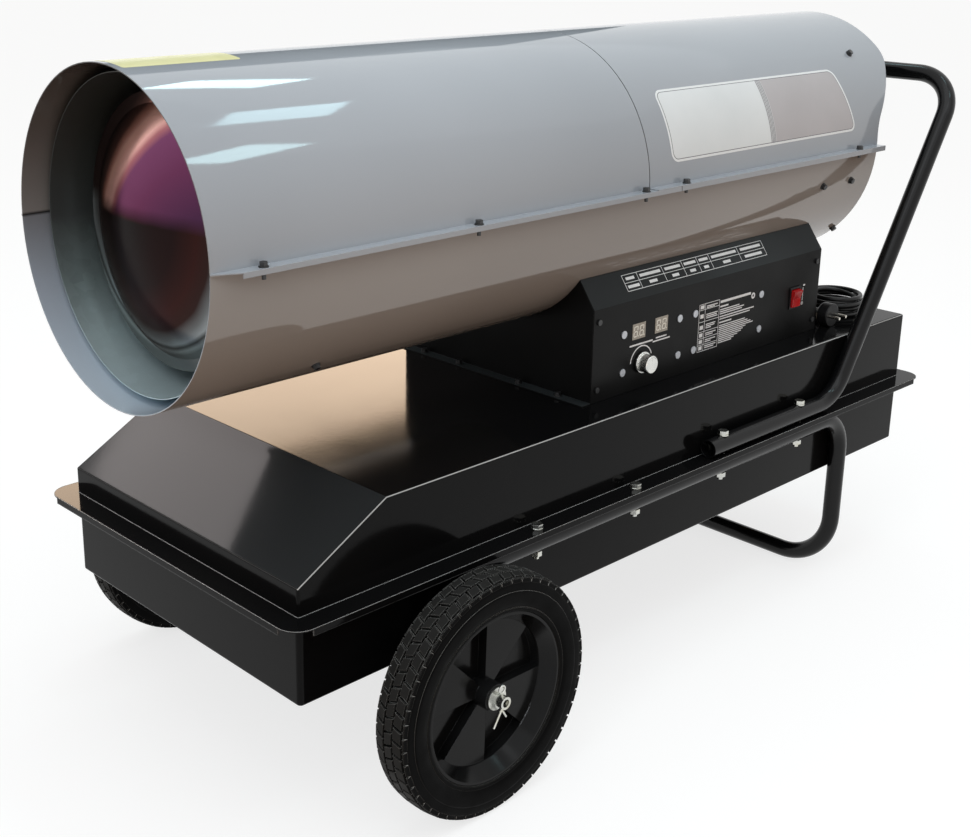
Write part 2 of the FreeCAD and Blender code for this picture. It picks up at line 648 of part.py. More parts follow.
def make_shells():
    """The outer tube: a front and a rear upper shell on one long lower shell, screwed along the seam lips."""
    split_front = "shell_split"
    split_rear = "shell_split + shell_gap"
    tongue_end = "shell_split + lip_tongue"

    def half(name, start, end, turn):
        skin = rod(name, (start, 0, "tube_axis"), turn, "(%s) - (%s)" % (end, start), "tube_radius")
        skin.Angle = 180
        bore = rod(name + "_bore", (start + " - 1", 0, "tube_axis"), "x", "(%s) - (%s) + 2" % (end, start),
                   "tube_bore")
        return cut(name + "_ring", skin, bore)

    def lip(name, side, start, end, level, width, tapered, notch=None):
        near = "tube_radius - shell_wall"
        corners = [(start, near), (end, near)]
        if notch:
            clear = "tube_radius + fit_gap"
            corners = [(start, near), (notch, near), (notch, clear), (end, clear)]
        corners.append((end, "tube_radius + (%s)" % width))
        if tapered:
            corners += [(start + " + lip_taper", "tube_radius + (%s)" % width),
                        (start, "tube_radius + shell_wall")]
        else:
            corners += [(start, "tube_radius + (%s)" % width)]
        loop = [(u, "(%s) * %d" % (v, side)) for u, v in corners]
        return pad(name, "XY_Plane", [loop], "shell_wall", level)

    def fold(name, side, start, end, top):
        reach = ["(tube_radius + lip_width - shell_wall) * %d" % side,
                 "(tube_radius + lip_width) * %d" % side]
        reach = reach if side > 0 else reach[::-1]
        return block(name, (start, reach[0], "tube_axis + shell_wall - lip_fold"), (end, reach[1], top))

    spots = [(x, "seam_line * %d" % side) for side in SIDES.values() for x in SEAM_SCREWS]
    seam_drill = rod("seam_drill", (0, 0, 0), "z", "shell_wall * 8", "screw_radius + screw_slack")
    seam_holes = copies("seam_holes", seam_drill,
                        [(x, y, "tube_axis - shell_wall * 4", None) for x, y in spots])
    radial_drill = rod("radial_drill", (0, 0, 0), "z", "shell_wall * 8", "screw_radius + screw_slack")
    radial_holes = copies("radial_holes", radial_drill, radial_spots("tube_radius - shell_wall * 4"))

    front = [half("front_skin", "tube_front", split_front, HALF_UP)]
    # The rear upper shell runs on as a hood over the guard, its sides cut back to the seam in an easy curve.
    trim = pad("hood_trim", "XZ_Plane",
               [[("tube_rear", "tube_axis - tube_radius"),
                 ("tube_rear", "tube_axis + hood_start", "hood_low_round"),
                 ("hood_rear", "tube_axis + hood_rise", "hood_high_round"),
                 ("hood_rear", "tube_axis + tube_radius * 1.1"),
                 ("hood_rear + tube_radius", "tube_axis + tube_radius * 1.1"),
                 ("hood_rear + tube_radius", "tube_axis - tube_radius")]], "tube_radius * 3", 0, True)
    rear = [cut("hood_skin", half("rear_skin", split_rear, "hood_rear + shell_wall", HALF_UP), trim)]
    low = [half("low_skin", "tube_front", "tube_rear", HALF_DOWN)]
    low_width = "lip_width - shell_wall - fit_gap * 2"
    for side in SIDES.values():
        front.append(lip("front_lip", side, "tube_front", tongue_end, "tube_axis", "lip_width", True,
                         split_front))
        front.append(fold("front_fold", side, "tube_front + lip_taper", tongue_end,
                          "tube_axis + shell_wall"))
        rear.append(lip("rear_lip", side, split_rear, "tube_rear", "tube_axis + lip_step", "lip_width",
                        False))
        rear.append(fold("rear_fold", side, tongue_end + " + shell_gap", "tube_rear",
                         "tube_axis + lip_step + shell_wall"))
        low.append(lip("low_lip", side, "tube_front", "tube_rear", "tube_axis - shell_wall", low_width,
                       True))
    keep("front_upper_shell", cut("front_upper_shell", fuse("front_blank", *front), seam_holes))
    keep("rear_upper_shell", cut("rear_upper_shell", fuse("rear_blank", *rear), seam_holes, radial_holes))
    cable = rod("cable_hole", ("pickup_place", "pickup_side", "tube_axis - tube_radius * 1.1"), "z",
                "tube_radius * 0.3",
                "cable_hole")
    keep("lower_shell", cut("lower_shell", fuse("low_blank", *low), seam_holes, radial_holes, cable))

    screw = hex_screw("seam_screw", "seam_shank")
    lift = {True: "tube_axis + lip_step + shell_wall", False: "tube_axis + shell_wall"}
    keep("seam_screws", copies("seam_screws", screw,
         [(x, y, lift[number(x) > number("shell_split")], None) for x, y in spots]))
    short = hex_screw("shell_screw", "radial_shank")
    keep("shell_screws", copies("shell_screws", short, radial_spots("tube_radius")))


def radial_spots(reach):
    """Where screws go in square to the tube: (x, y, z, turn), at a distance from its axis."""
    rows = [("guard_place - guard_screw_back - guard_wire", "guard_screw_angle"),
            ("guard_place - guard_screw_back - guard_wire", "-guard_screw_angle"),
            ("tube_rear - tray_screw_back", "-tray_screw_angle"),
            ("tube_rear - tray_screw_back + tray_screw_pitch", "-tray_screw_angle"),
            ("shield_front + spacer_front", "-spacer_angle")]
    spots = []
    for x, angle in rows:
        for side in SIDES.values():
            turn = FreeCAD.Rotation(X_AXIS, -side * (90 - number(angle)))
            spots.append((x, "(%s) * cos(%s) * %d" % (reach, angle, side),
                          "tube_axis + (%s) * sin(%s)" % (reach, angle), turn))
    return spots


def hex_screw(name, shank):
    """A flanged hexagon screw, its seat at the origin and its head up."""
    return fuse(name, rod(name + "_shank", (0, 0, "-(%s)" % shank), "z", shank, "screw_radius"),
                rod(name + "_rim", (0, 0, 0), "z", "screw_rim", "screw_flange"),
                hexagon(name + "_head", (0, 0, 0), "z", "screw_head + screw_rim", "screw_hex"))


def make_burner():
    """The heat shield, the combustion chamber with its front dome, and the burner head."""
    axis = (0, "tube_axis")
    keep("heat_shield", spin("heat_shield",
         [(0, "shield_radius - shield_wall"), ("shield_length", "shield_radius - shield_wall"),
          ("shield_length", "shield_radius"), (0, "shield_radius")], ("shield_front", *axis)))
    ring_gap = cut("spacer_ring",
                   rod("spacer_out", ("shield_front", *axis), "x", "shield_length", "tube_bore"),
                   rod("spacer_in", ("shield_front - 1", *axis), "x", "shield_length + 2", "shield_radius"))
    stays = []
    for station in ("spacer_front", "spacer_rear"):
        for angle in ("-spacer_angle", "spacer_angle - 180", "90"):
            foot = new_object("Part::Box", "spacer_foot")
            bind(foot, Length="spacer_width", Width="spacer_width",
                 Height="tube_radius - shield_radius + spacer_width")
            turn = FreeCAD.Rotation(X_AXIS, number(angle) - 90)
            radius = "(shield_radius - spacer_width / 2)"
            place(foot, "shield_front + %s - spacer_width / 2" % station,
                  "%s * cos(%s) + spacer_width / 2 * cos(%s + 90)" % (radius, angle, angle),
                  "tube_axis + %s * sin(%s) + spacer_width / 2 * sin(%s + 90)" % (radius, angle, angle),
                  turn)
            stays.append(foot)
    drill = rod("spacer_drill", (0, 0, 0), "z", "spacer_width * 2", "screw_radius + screw_slack")
    bores = copies("spacer_bores", drill, radial_spots("tube_radius - spacer_width"))
    keep("shield_spacers",
         cut("shield_spacers", common("spacer_blanks", ring_gap, fuse("spacer_feet", *stays)), bores))

    keep("combustion_chamber", spin("combustion_chamber",
         [(0, "chamber_radius - chamber_wall"), (0, "chamber_radius"), ("chamber_length", "chamber_radius"),
          ("chamber_length", "burner_radius + fit_gap"),
          ("chamber_length - chamber_wall", "burner_radius + fit_gap"),
          ("chamber_length - chamber_wall", "chamber_radius - chamber_wall")], ("chamber_front", *axis)))

    # The dome is a cap of a sphere: its ball radius follows from its crown radius and its bulge.
    ball_text = "(dome_crown ^ 2 + dome_bulge ^ 2) / (2 * dome_bulge)"
    cap_spot = ("dome_face - dome_bulge + %s" % ball_text, *axis)
    outside = new_object("Part::Sphere", "dome_outside")
    bind(outside, Radius=ball_text)
    place(outside, *cap_spot)
    inside = new_object("Part::Sphere", "dome_inside")
    bind(inside, Radius=ball_text + " - dome_wall")
    place(inside, *cap_spot)
    shell = cut("dome_shell", outside, inside)
    crown = common("dome_cap", shell, rod("dome_trim", ("dome_face - dome_bulge * 2", *axis), "x",
                                          "dome_bulge * 2 + dome_wall", "dome_crown + dome_wall"))
    flat = cut("dome_ring", rod("dome_plate", ("dome_face", *axis), "x", "dome_wall", "dome_radius"),
               rod("dome_eye", ("dome_face - 1", *axis), "x", "dome_wall + 2", "dome_crown - dome_wall"))
    keep("chamber_dome", fuse("chamber_dome", crown, flat))

    # Clips hold the dome off the chamber's mouth and the chamber inside its shield.
    clips = []
    stays = []
    for i in range(4):
        turn = FreeCAD.Rotation(X_AXIS, 45 + 90 * i)
        clips.append(radial_plate("dome_clip", turn, "dome_face + dome_wall", "chamber_front + clip_reach",
                                  "chamber_radius", "chamber_radius + clip_wall", "clip_width"))
        clips.append(radial_plate("dome_tongue", turn, "dome_face + dome_wall", "dome_face + dome_wall * 2",
                                  "chamber_radius - clip_wall * 4", "chamber_radius + clip_wall",
                                  "clip_width"))
        stays.append(radial_plate("chamber_stay", turn, "chamber_front + clip_reach * 2",
                                  "chamber_front + clip_reach * 2 + clip_wall", "chamber_radius",
                                  "shield_radius - shield_wall", "clip_width"))
        stays.append(radial_plate("chamber_stay", turn, "chamber_rear - clip_reach * 2",
                                  "chamber_rear - clip_reach * 2 + clip_wall", "chamber_radius",
                                  "shield_radius - shield_wall", "clip_width"))
    chamber_room = rod("chamber_room", ("chamber_front", *axis), "x", "chamber_length", "chamber_radius")
    shield_room = rod("shield_room", ("tube_front", *axis), "x", "tube_length",
                      "shield_radius - shield_wall")
    dome_clips = cut("dome_clips", fuse("dome_clip_set", *clips), chamber_room)
    chamber_stays = cut("chamber_stays", common("stay_set", shield_room, fuse("stay_blanks", *stays)),
                        chamber_room)
    keep("chamber_clips", group("chamber_clips", [dome_clips, chamber_stays]))

    cup = spin("burner_cup",
               [(0, "burner_radius - burner_wall"), (0, "burner_radius"), ("chamber_wall", "burner_radius"),
                ("chamber_wall", "burner_radius + burner_flange"),
                ("chamber_wall + burner_wall", "burner_radius + burner_flange"),
                ("chamber_wall + burner_wall", "burner_radius"), ("burner_depth", "burner_radius"),
                ("burner_depth", "nozzle_radius"),
                ("burner_depth - burner_wall", "nozzle_radius"),
                ("burner_depth - burner_wall", "burner_radius - burner_wall")],
               ("chamber_rear - chamber_wall", *axis))
    back = "burner_rear - chamber_wall - burner_wall"
    ports = [rod("electrode_port",
                 (back + " - 1", "electrode_offset * %d" % side, "tube_axis + electrode_offset"), "x",
                 "burner_wall + 2", "electrode_radius") for side in SIDES.values()]
    slots = [radial_plate("swirl_slot", FreeCAD.Rotation(X_AXIS, 60 * i + 30), back + " - 1",
                          back + " + burner_wall + 1",
                          "nozzle_radius * 4.6", "burner_radius - burner_wall * 3", "nozzle_radius * 0.7")
             for i in range(6)]
    keep("burner_head", cut("burner_head", cup, *ports, *slots))
    keep("fuel_nozzle", spin("fuel_nozzle",
         [("-nozzle_cone", 0), ("-nozzle_cone", "nozzle_tip"), (0, "nozzle_radius"),
          ("nozzle_length + burner_wall", "nozzle_radius"), ("nozzle_length + burner_wall", 0)],
         (back, *axis)))
    rods = []
    for side in SIDES.values():
        spot = (back + " - electrode_length * 0.4", "electrode_offset * %d" % side,
                "tube_axis + electrode_offset")
        rods.append(fuse("electrode",
                         rod("electrode_body", spot, "x", "electrode_length", "electrode_radius"),
                         rod("electrode_wire", spot, "-x", "wire_reach", "wire_radius")))
    keep("ignition_electrodes", group("ignition_electrodes", rods))


def radial_plate(name, turn, start, end, inner, outer, width):
    """A plate square to the tube's axis, between two stations and two radii, turned about the axis."""
    plate = new_object("Part::Box", name)
    bind(plate, Length="(%s) - (%s)" % (end, start), Width=width, Height="(%s) - (%s)" % (outer, inner))
    angle = math.degrees(turn.Angle) * (1 if turn.Axis.x >= 0 else -1)
    place(plate, start,
          "-(%s) / 2 * cos(%s) - (%s) * sin(%s)" % (width, angle, inner, angle),
          "tube_axis - (%s) / 2 * sin(%s) + (%s) * cos(%s)" % (width, angle, inner, angle), turn)
    return plate


def make_blower():
    """The fan on the motor's shaft, the motor on its tray, the air pump and the rear guard."""
    axis = (0, "tube_axis")
    hub = spin("fan_hub", [(0, "shaft_radius"), (0, "fan_hub_radius"), ("fan_hub_length", "fan_hub_radius"),
                           ("fan_hub_length", "shaft_radius")], ("fan_front", *axis))
    blades = []
    count = int(number("fan_blades"))
    middle = "fan_front + fan_hub_length / 2"
    for i in range(count):
        angle = 360.0 / count * i
        blade = new_object("Part::Box", "fan_blade")
        bind(blade, Length="blade_chord", Width="blade_wall",
             Height="fan_radius * 1.1 - fan_hub_radius * 0.8")
        pitch = FreeCAD.Rotation(Z_AXIS, number("90 - blade_pitch"))
        turn = FreeCAD.Rotation(X_AXIS, angle).multiply(pitch)
        # The blade's corner lies half a chord before its middle line and half a wall beside it.
        along = "-blade_chord / 2 * cos(90 - blade_pitch) + blade_wall / 2 * sin(90 - blade_pitch)"
        across = "(-blade_chord / 2 * sin(90 - blade_pitch) - blade_wall / 2 * cos(90 - blade_pitch))"
        root = "(fan_hub_radius * 0.8)"
        place(blade, middle + " + (%s)" % along,
              "%s * cos(%s) - %s * sin(%s)" % (across, angle, root, angle),
              "tube_axis + %s * sin(%s) + %s * cos(%s)" % (across, angle, root, angle), turn)
        blades.append(blade)
    bore = rod("fan_bore", ("fan_front - blade_chord", *axis), "x", "fan_hub_length + blade_chord * 2",
               "shaft_radius")
    room = ("fan_front - blade_chord", *axis)
    span = "fan_hub_length + blade_chord * 2"
    trim = cut("fan_trim", rod("fan_outside", room, "x", span, "fan_radius * 1.3"),
               rod("fan_inside", room, "x", span, "fan_radius"))
    keep("fan", cut("fan", fuse("fan_parts", hub, *blades), bore, trim))
    keep("motor_shaft", rod("motor_shaft", ("fan_front - shaft_radius", *axis), "x",
                            "pump_rear - pump_length * 0.3 - fan_front + shaft_radius", "shaft_radius"))
    running = "shaft_radius + running_gap"
    keep("motor_body", spin("motor_body",
         [(0, running), (0, "motor_radius * 0.5"), ("motor_bell", "motor_radius", 4),
          ("motor_length - motor_bell", "motor_radius", 4),
          ("motor_length", "motor_radius * 0.5"), ("motor_length", running)], ("motor_front", *axis)))
    keep("air_pump", spin("air_pump",
         [(0, running), (0, "motor_radius * 0.5"), ("pump_length * 0.2", "motor_radius * 0.5"),
          ("pump_length * 0.2", "pump_radius"), ("pump_length", "pump_radius", 3), ("pump_length", 0),
          ("pump_length * 0.7 + fit_gap", 0), ("pump_length * 0.7 + fit_gap", running)],
                          ("motor_rear", *axis)))

    bed = "tube_axis - motor_radius"
    plate = block("tray_plate", ("tray_front", "-tube_radius", bed + " - tray_wall"),
                  ("tray_front + tray_length", "tube_radius", bed))
    room = rod("tray_room", ("tray_front", *axis), "x", "tray_length", "tube_bore")
    flat = common("tray_flat", plate, room)
    skin = cut("tray_skin", rod("tray_outer", ("tray_front", *axis), "x", "tray_length", "tube_bore"),
               rod("tray_inner", ("tray_front - 1", *axis), "x", "tray_length + 2",
                   "tube_bore - tray_wall"))
    band = block("tray_band", ("tray_front", "-tube_radius", bed + " - tray_wall"),
                 ("tray_front + tray_length", "tube_radius", bed + " + tray_upturn"))
    sides = common("tray_sides", skin, band)
    drill = rod("blower_drill", (0, 0, 0), "z", "tube_radius * 0.2", "screw_radius + screw_slack")
    holes = copies("blower_holes", drill, radial_spots("tube_radius * 0.9"))
    keep("motor_tray", cut("motor_tray", fuse("tray_blank", flat, sides), holes))

    wires = []
    rings = int(number("guard_rings"))
    for i in range(rings):
        ring = new_object("Part::Torus", "guard_ring")
        bind(ring, Radius1="guard_first + guard_pitch * %d" % i, Radius2="guard_wire")
        place(ring, "guard_place", *axis, turn=ROD_TURNS["x"])
        wires.append(ring)
    spokes = int(number("guard_spokes"))
    for i in range(spokes):
        turn = FreeCAD.Rotation(X_AXIS, 360.0 / spokes * i + 180.0 / spokes)
        angle = math.degrees(turn.Angle) * (1 if turn.Axis.x >= 0 else -1)
        wires.append(rod("guard_spoke", ("guard_place - guard_wire * 2", "-guard_first * sin(%s)" % angle,
                                         "tube_axis + guard_first * cos(%s)" % angle), turn,
                         "guard_rim - guard_first", "guard_wire"))
    tabs = []
    for side in SIDES.values():
        for angle in ("guard_screw_angle", "-guard_screw_angle"):
            turn = FreeCAD.Rotation(X_AXIS, -side * (90 - number(angle)))
            tabs.append(radial_plate("guard_tab", turn, "guard_place - guard_tab_reach",
                                     "guard_place + guard_wire / 2",
                                     "guard_rim - guard_wire", "tube_radius", "guard_tab"))
    tab_skin = cut("tab_skin", rod("tab_outer", ("guard_place - guard_tab_reach * 2", *axis), "x",
                                   "guard_tab_reach * 3",
                                   "tube_bore"),
                   rod("tab_inner", ("guard_place - guard_tab_reach * 3", *axis), "x",
                       "guard_tab_reach * 5",
                       "tube_bore - tray_wall"))
    feet = common("tab_feet", tab_skin, fuse("tab_blanks", *tabs))
    legs = []
    for side in SIDES.values():
        for angle in ("guard_screw_angle", "-guard_screw_angle"):
            turn = FreeCAD.Rotation(X_AXIS, -side * (90 - number(angle)))
            legs.append(radial_plate("guard_leg", turn, "guard_place - guard_wire / 2",
                                     "guard_place + guard_wire / 2",
                                     "guard_rim + guard_wire", "tube_bore - tray_wall / 2", "guard_tab"))
    tabs = cut("guard_tabs", fuse("tab_plates", feet, *legs), holes)
    keep("rear_guard", group("rear_guard", [tabs, *wires]))


def box_wrap(name, side):
    """One bent side sheet of the control box: an upright wall and the shoulder above it."""
    corners = [("-box_side", "tank_top"), ("-box_side", "panel_top"), ("-shoulder_side", "shoulder_top"),
               ("-shoulder_side + box_wall * shoulder_secant / shoulder_rate", "shoulder_top"),
               ("box_wall - box_side", "panel_top + box_wall * (shoulder_rate - shoulder_secant)"),
               ("box_wall - box_side", "tank_top")]
    loop = [("(%s) * %d" % (u, -side), v) for u, v in corners]
    return pad(name, "YZ_Plane", [loop], "box_length", "box_front")


def make_control_box():
    """The control box that carries the tube on the tank, with its instrument panel on the left."""
    inner = [("box_wall - box_side", "tank_top"),
             ("box_wall - box_side", "panel_top + box_wall * (shoulder_rate - shoulder_secant)"),
             ("-shoulder_side + box_wall * shoulder_secant / shoulder_rate", "shoulder_top")]
    loop = inner + [("-(%s)" % u, v) for u, v in reversed(inner)]
    front = pad("box_front_plate", "YZ_Plane", [loop], "box_wall", "box_front")
    rear = pad("box_rear_plate", "YZ_Plane", [loop], "box_wall", "box_rear - box_wall")
    returns = [block("box_return", (x, "box_wall - box_side", "tank_top"),
                     ("(%s) + box_return" % x, "box_wall * 2 - box_side", "panel_top - box_wall * 2"))
               for x in ("box_front", "box_rear - box_return")]
    feet = [block("front_foot", ("box_front - foot_width", "-box_side", "tank_top"),
                  ("box_front + box_wall", "box_side", "tank_top + box_wall")),
            block("rear_foot", ("box_rear - box_wall", "0", "tank_top"),
                  ("box_rear + foot_width", "box_side", "tank_top + box_wall"))]
    saddle = rod("tube_saddle", ("box_front - foot_width", 0, "tube_axis"), "x",
                 "box_length + foot_width * 2",
                 "tube_radius")
    gland = rod("gland_hole", ("box_rear - box_wall * 2", "-gland_side", "gland_level"), "x",
                "box_wall * 3",
                "gland_thread + screw_slack")
    foot_holes = [rod("foot_drill", (x, y, "tank_top - 1"), "z", "box_wall + 2",
                      "screw_radius + screw_slack")
                  for x, y in foot_spots()]
    panel_spots = [(x, z) for x in ("box_front + panel_screw_edge", "box_rear - panel_screw_edge")
                   for z in ("tank_top + panel_screw_low", "tank_top + panel_screw_high")]
    panel_holes = [rod("panel_drill", (x, "-box_side - 1", z), "y", "panel_screw_length + 2",
                       "panel_screw_radius + screw_slack") for x, z in panel_spots]
    keep("control_box",
         cut("control_box", fuse("box_blank", front, rear, box_wrap("box_far_side", 1), *returns, *feet),
                            saddle, gland, *foot_holes, *panel_holes))

    rivets = [("box_front + " + x, "tank_top + " + z)
              for x in ("board_one_left", "board_one_right", "board_two_left", "board_two_right")
              for z in ("rivet_low", "rivet_high")]
    openings = [rod("rivet_hole", (x, "-box_side - 1", z), "y", "box_wall + 2", "rivet_shank + screw_slack")
                for x, z in rivets]
    for i in range(2):
        left = "box_front + display_first + display_pitch * %d - display_width / 2" % i
        openings.append(block("display_hole",
                              (left, "-box_side - 1", "display_level - display_height / 2"),
                              (left + " + display_width", "box_wall - box_side + 1",
                               "display_level + display_height / 2")))
    openings.append(rod("knob_hole", ("knob_place", "-box_side - 1", "knob_level"), "y", "box_wall + 2",
                        "bushing_radius + screw_slack"))
    well_x = "(switch_width / 2 - switch_rim)"
    well_z = "(switch_height / 2 - switch_rim)"
    openings.append(block("switch_hole",
                          ("switch_place - %s" % well_x, "-box_side - 1", "switch_level - %s" % well_z),
                          ("switch_place + %s" % well_x, "box_wall - box_side + 1",
                           "switch_level + %s" % well_z)))
    keep("control_panel", cut("control_panel", box_wrap("panel_wrap", -1), saddle, *openings, *panel_holes))

    head = fuse("panel_screw",
                rod("panel_screw_top", (0, 0, 0), "z", "panel_screw_rim", "panel_screw_head"),
                rod("panel_screw_shank", (0, 0, 0), "-z", "panel_screw_length", "panel_screw_radius"))
    panel_screws = copies("panel_screws", head,
                          [(x, "-box_side", z, ROD_TURNS["-y"]) for x, z in panel_spots])
    foot_screw = hex_screw("foot_screw", "box_wall + tank_wall * 4")
    foot_screws = copies("foot_screws", foot_screw,
                         [(x, y, "tank_top + box_wall", None) for x, y in foot_spots()])
    keep("box_screws", group("box_screws", [panel_screws, foot_screws]))

    rivet = fuse("rivet", rod("rivet_head", (0, 0, 0), "z", "rivet_rim", "rivet_head"),
                 rod("rivet_stem", (0, 0, 0), "-z", "box_wall + board_gap + board_wall + rivet_rim",
                     "rivet_shank"),
                 rod("rivet_spacer", (0, 0, "-box_wall"), "-z", "board_gap", "rivet_shank * 1.6"))
    keep("panel_rivets",
         copies("panel_rivets", rivet, [(x, "-box_side", z, ROD_TURNS["-y"]) for x, z in rivets]))
    boards = []
    for name, left, right in (("display_board", "board_one_left", "board_one_right"),
                              ("relay_board", "board_two_left", "board_two_right")):
        sheet_of = block(name, ("box_front + %s - board_margin" % left, "-board_face",
                                "tank_top + rivet_low - board_margin"),
                         ("box_front + %s + board_margin" % right, "board_wall - board_face",
                          "tank_top + rivet_high + board_margin"))
        bores = [rod("board_hole", (x, "-board_face - 1", z), "y", "board_wall + 2",
                     "rivet_shank + screw_slack")
                 for x, z in rivets]
        if name == "display_board":
            bores.append(rod("pot_hole", ("knob_place", "-board_face - 1", "knob_level"), "y",
                             "board_wall + 2",
                             "pot_radius + fit_gap"))
        boards.append(cut(name, sheet_of, *bores))
    keep("control_boards", group("control_boards", boards))
    windows = []
    for i in range(2):
        left = "box_front + display_first + display_pitch * %d - display_width / 2 + screw_slack" % i
        windows.append(block("display_window",
                             (left, "-box_side - display_proud",
                              "display_level - display_height / 2 + screw_slack"),
                             (left + " + display_width - screw_slack * 2", "-board_face",
                              "display_level + display_height / 2 - screw_slack")))
    keep("display_windows", group("display_windows", windows))


def make_controls():
    """The thermostat knob on its potentiometer, the rocker switch and the ignition transformer."""
    spot = ("knob_place", "-box_side", "knob_level")
    running = "spindle_radius + running_gap"
    back = "-(box_wall + pot_length)"
    pot = spin("potentiometer",
               [(back, running), (back, "pot_radius"), ("-box_wall", "pot_radius"),
                ("-box_wall", "bushing_radius"),
                ("bushing_length - box_wall", "bushing_radius"), ("bushing_length - box_wall", running)],
               spot, "-y")
    keep("potentiometer", pot)
    stand = "bushing_length - box_wall + knob_stand"
    keep("knob_spindle",
         rod("knob_spindle", ("knob_place", "-box_side + box_wall + pot_length - 1", "knob_level"), "-y",
                             "box_wall + pot_length - 1 + %s + knob_bore" % stand, "spindle_radius"))
    skirt = "knob_stand"
    body = spin("knob_body",
                [(skirt, "bushing_radius + knob_stand"), (skirt, "knob_skirt"),
                 (skirt + " + knob_skirt_length", "knob_skirt", 1),
                 (skirt + " + knob_skirt_length", "knob_radius"),
                 (skirt + " + knob_length", "knob_radius", 1), (skirt + " + knob_length", 0),
                 (stand + " + knob_bore", 0), (stand + " + knob_bore", "spindle_radius"),
                 (stand, "spindle_radius"),
                 (stand, "bushing_radius + knob_stand")], spot, "-y")
    pointer = block("knob_pointer",
                    ("knob_place - knob_pointer / 2", "-box_side - knob_stand - knob_length - 0.4",
                                     "knob_level + knob_radius * 0.45"),
                    ("knob_place + knob_pointer / 2", "-box_side - knob_stand - knob_length + 0.5",
                     "knob_level + knob_radius * 0.9"))
    keep("thermostat_knob", fuse("thermostat_knob", body, pointer))

    face = "-box_side - switch_rim"
    well_x = "(switch_width / 2 - switch_rim - screw_slack)"
    well_z = "(switch_height / 2 - switch_rim - screw_slack)"
    bezel = block("switch_bezel",
                  ("switch_place - switch_width / 2", face, "switch_level - switch_height / 2"),
                  ("switch_place + switch_width / 2", "-box_side", "switch_level + switch_height / 2"))
    can = block("switch_can", ("switch_place - %s" % well_x, "-box_side", "switch_level - %s" % well_z),
                ("switch_place + %s" % well_x, "switch_depth - box_side", "switch_level + %s" % well_z))
    mouth_x = "(rocker_width / 2 + fit_gap)"
    mouth_z = "(rocker_height / 2 + fit_gap * 4)"
    mouth = block("switch_mouth",
                  ("switch_place - %s" % mouth_x, face + " - 1", "switch_level - %s" % mouth_z),
                  ("switch_place + %s" % mouth_x, "switch_depth - switch_wall - box_side",
                   "switch_level + %s" % mouth_z))
    pivot = rod("switch_pivot", ("switch_place - switch_width", "-box_side + rocker_pin", "switch_level"),
                "x",
                "switch_width * 2", "rocker_pin + running_gap")
    keep("switch_housing", cut("switch_housing", fuse("switch_blank", bezel, can), mouth, pivot))

    # The rocker stands tilted at its off stop: its upper half is proud and its lower half pressed in.
    proud = "(switch_rim + rocker_depth * 0.45)"
    slant = "(rocker_height / 2 * tan(rocker_tilt))"
    corners = [("-rocker_height / 2", "-rocker_depth * 0.5"), ("rocker_height / 2", "-rocker_depth * 0.5"),
               ("rocker_height / 2", "%s + %s" % (proud, slant)), ("0", proud),
               ("-rocker_height / 2", "%s + %s" % (proud, slant))]
    rocker = pad("rocker_block", "XY_Plane", [corners], "rocker_width - fit_gap * 2", 0, True)
    pins = rod("rocker_pins", (0, 0, "-rocker_width / 2 - switch_wall / 2"), "z",
               "rocker_width + switch_wall",
               "rocker_pin")
    lying = FreeCAD.Rotation(Z_AXIS, Y_AXIS.negative(), X_AXIS, "ZXY")
    whole = fuse("rocker_whole", rocker, pins)
    tilted = FreeCAD.Rotation(X_AXIS, number("rocker_tilt")).multiply(lying)
    keep("power_rocker", copies("power_rocker", whole,
                                [("switch_place", "-box_side + rocker_pin", "switch_level", tilted)]))

    low = ("box_front + transformer_setback", "transformer_side", "tank_top + transformer_foot_wall")
    high = ("box_front + transformer_setback + transformer_length", "transformer_side + transformer_width",
            "tank_top + transformer_foot_wall + transformer_height")
    foot = block("transformer_foot", (low[0] + " - transformer_foot", low[1], "tank_top"),
                 (high[0] + " + transformer_foot", high[1], low[2]))
    keep("ignition_transformer", fuse("ignition_transformer", block("transformer_can", low, high), foot))


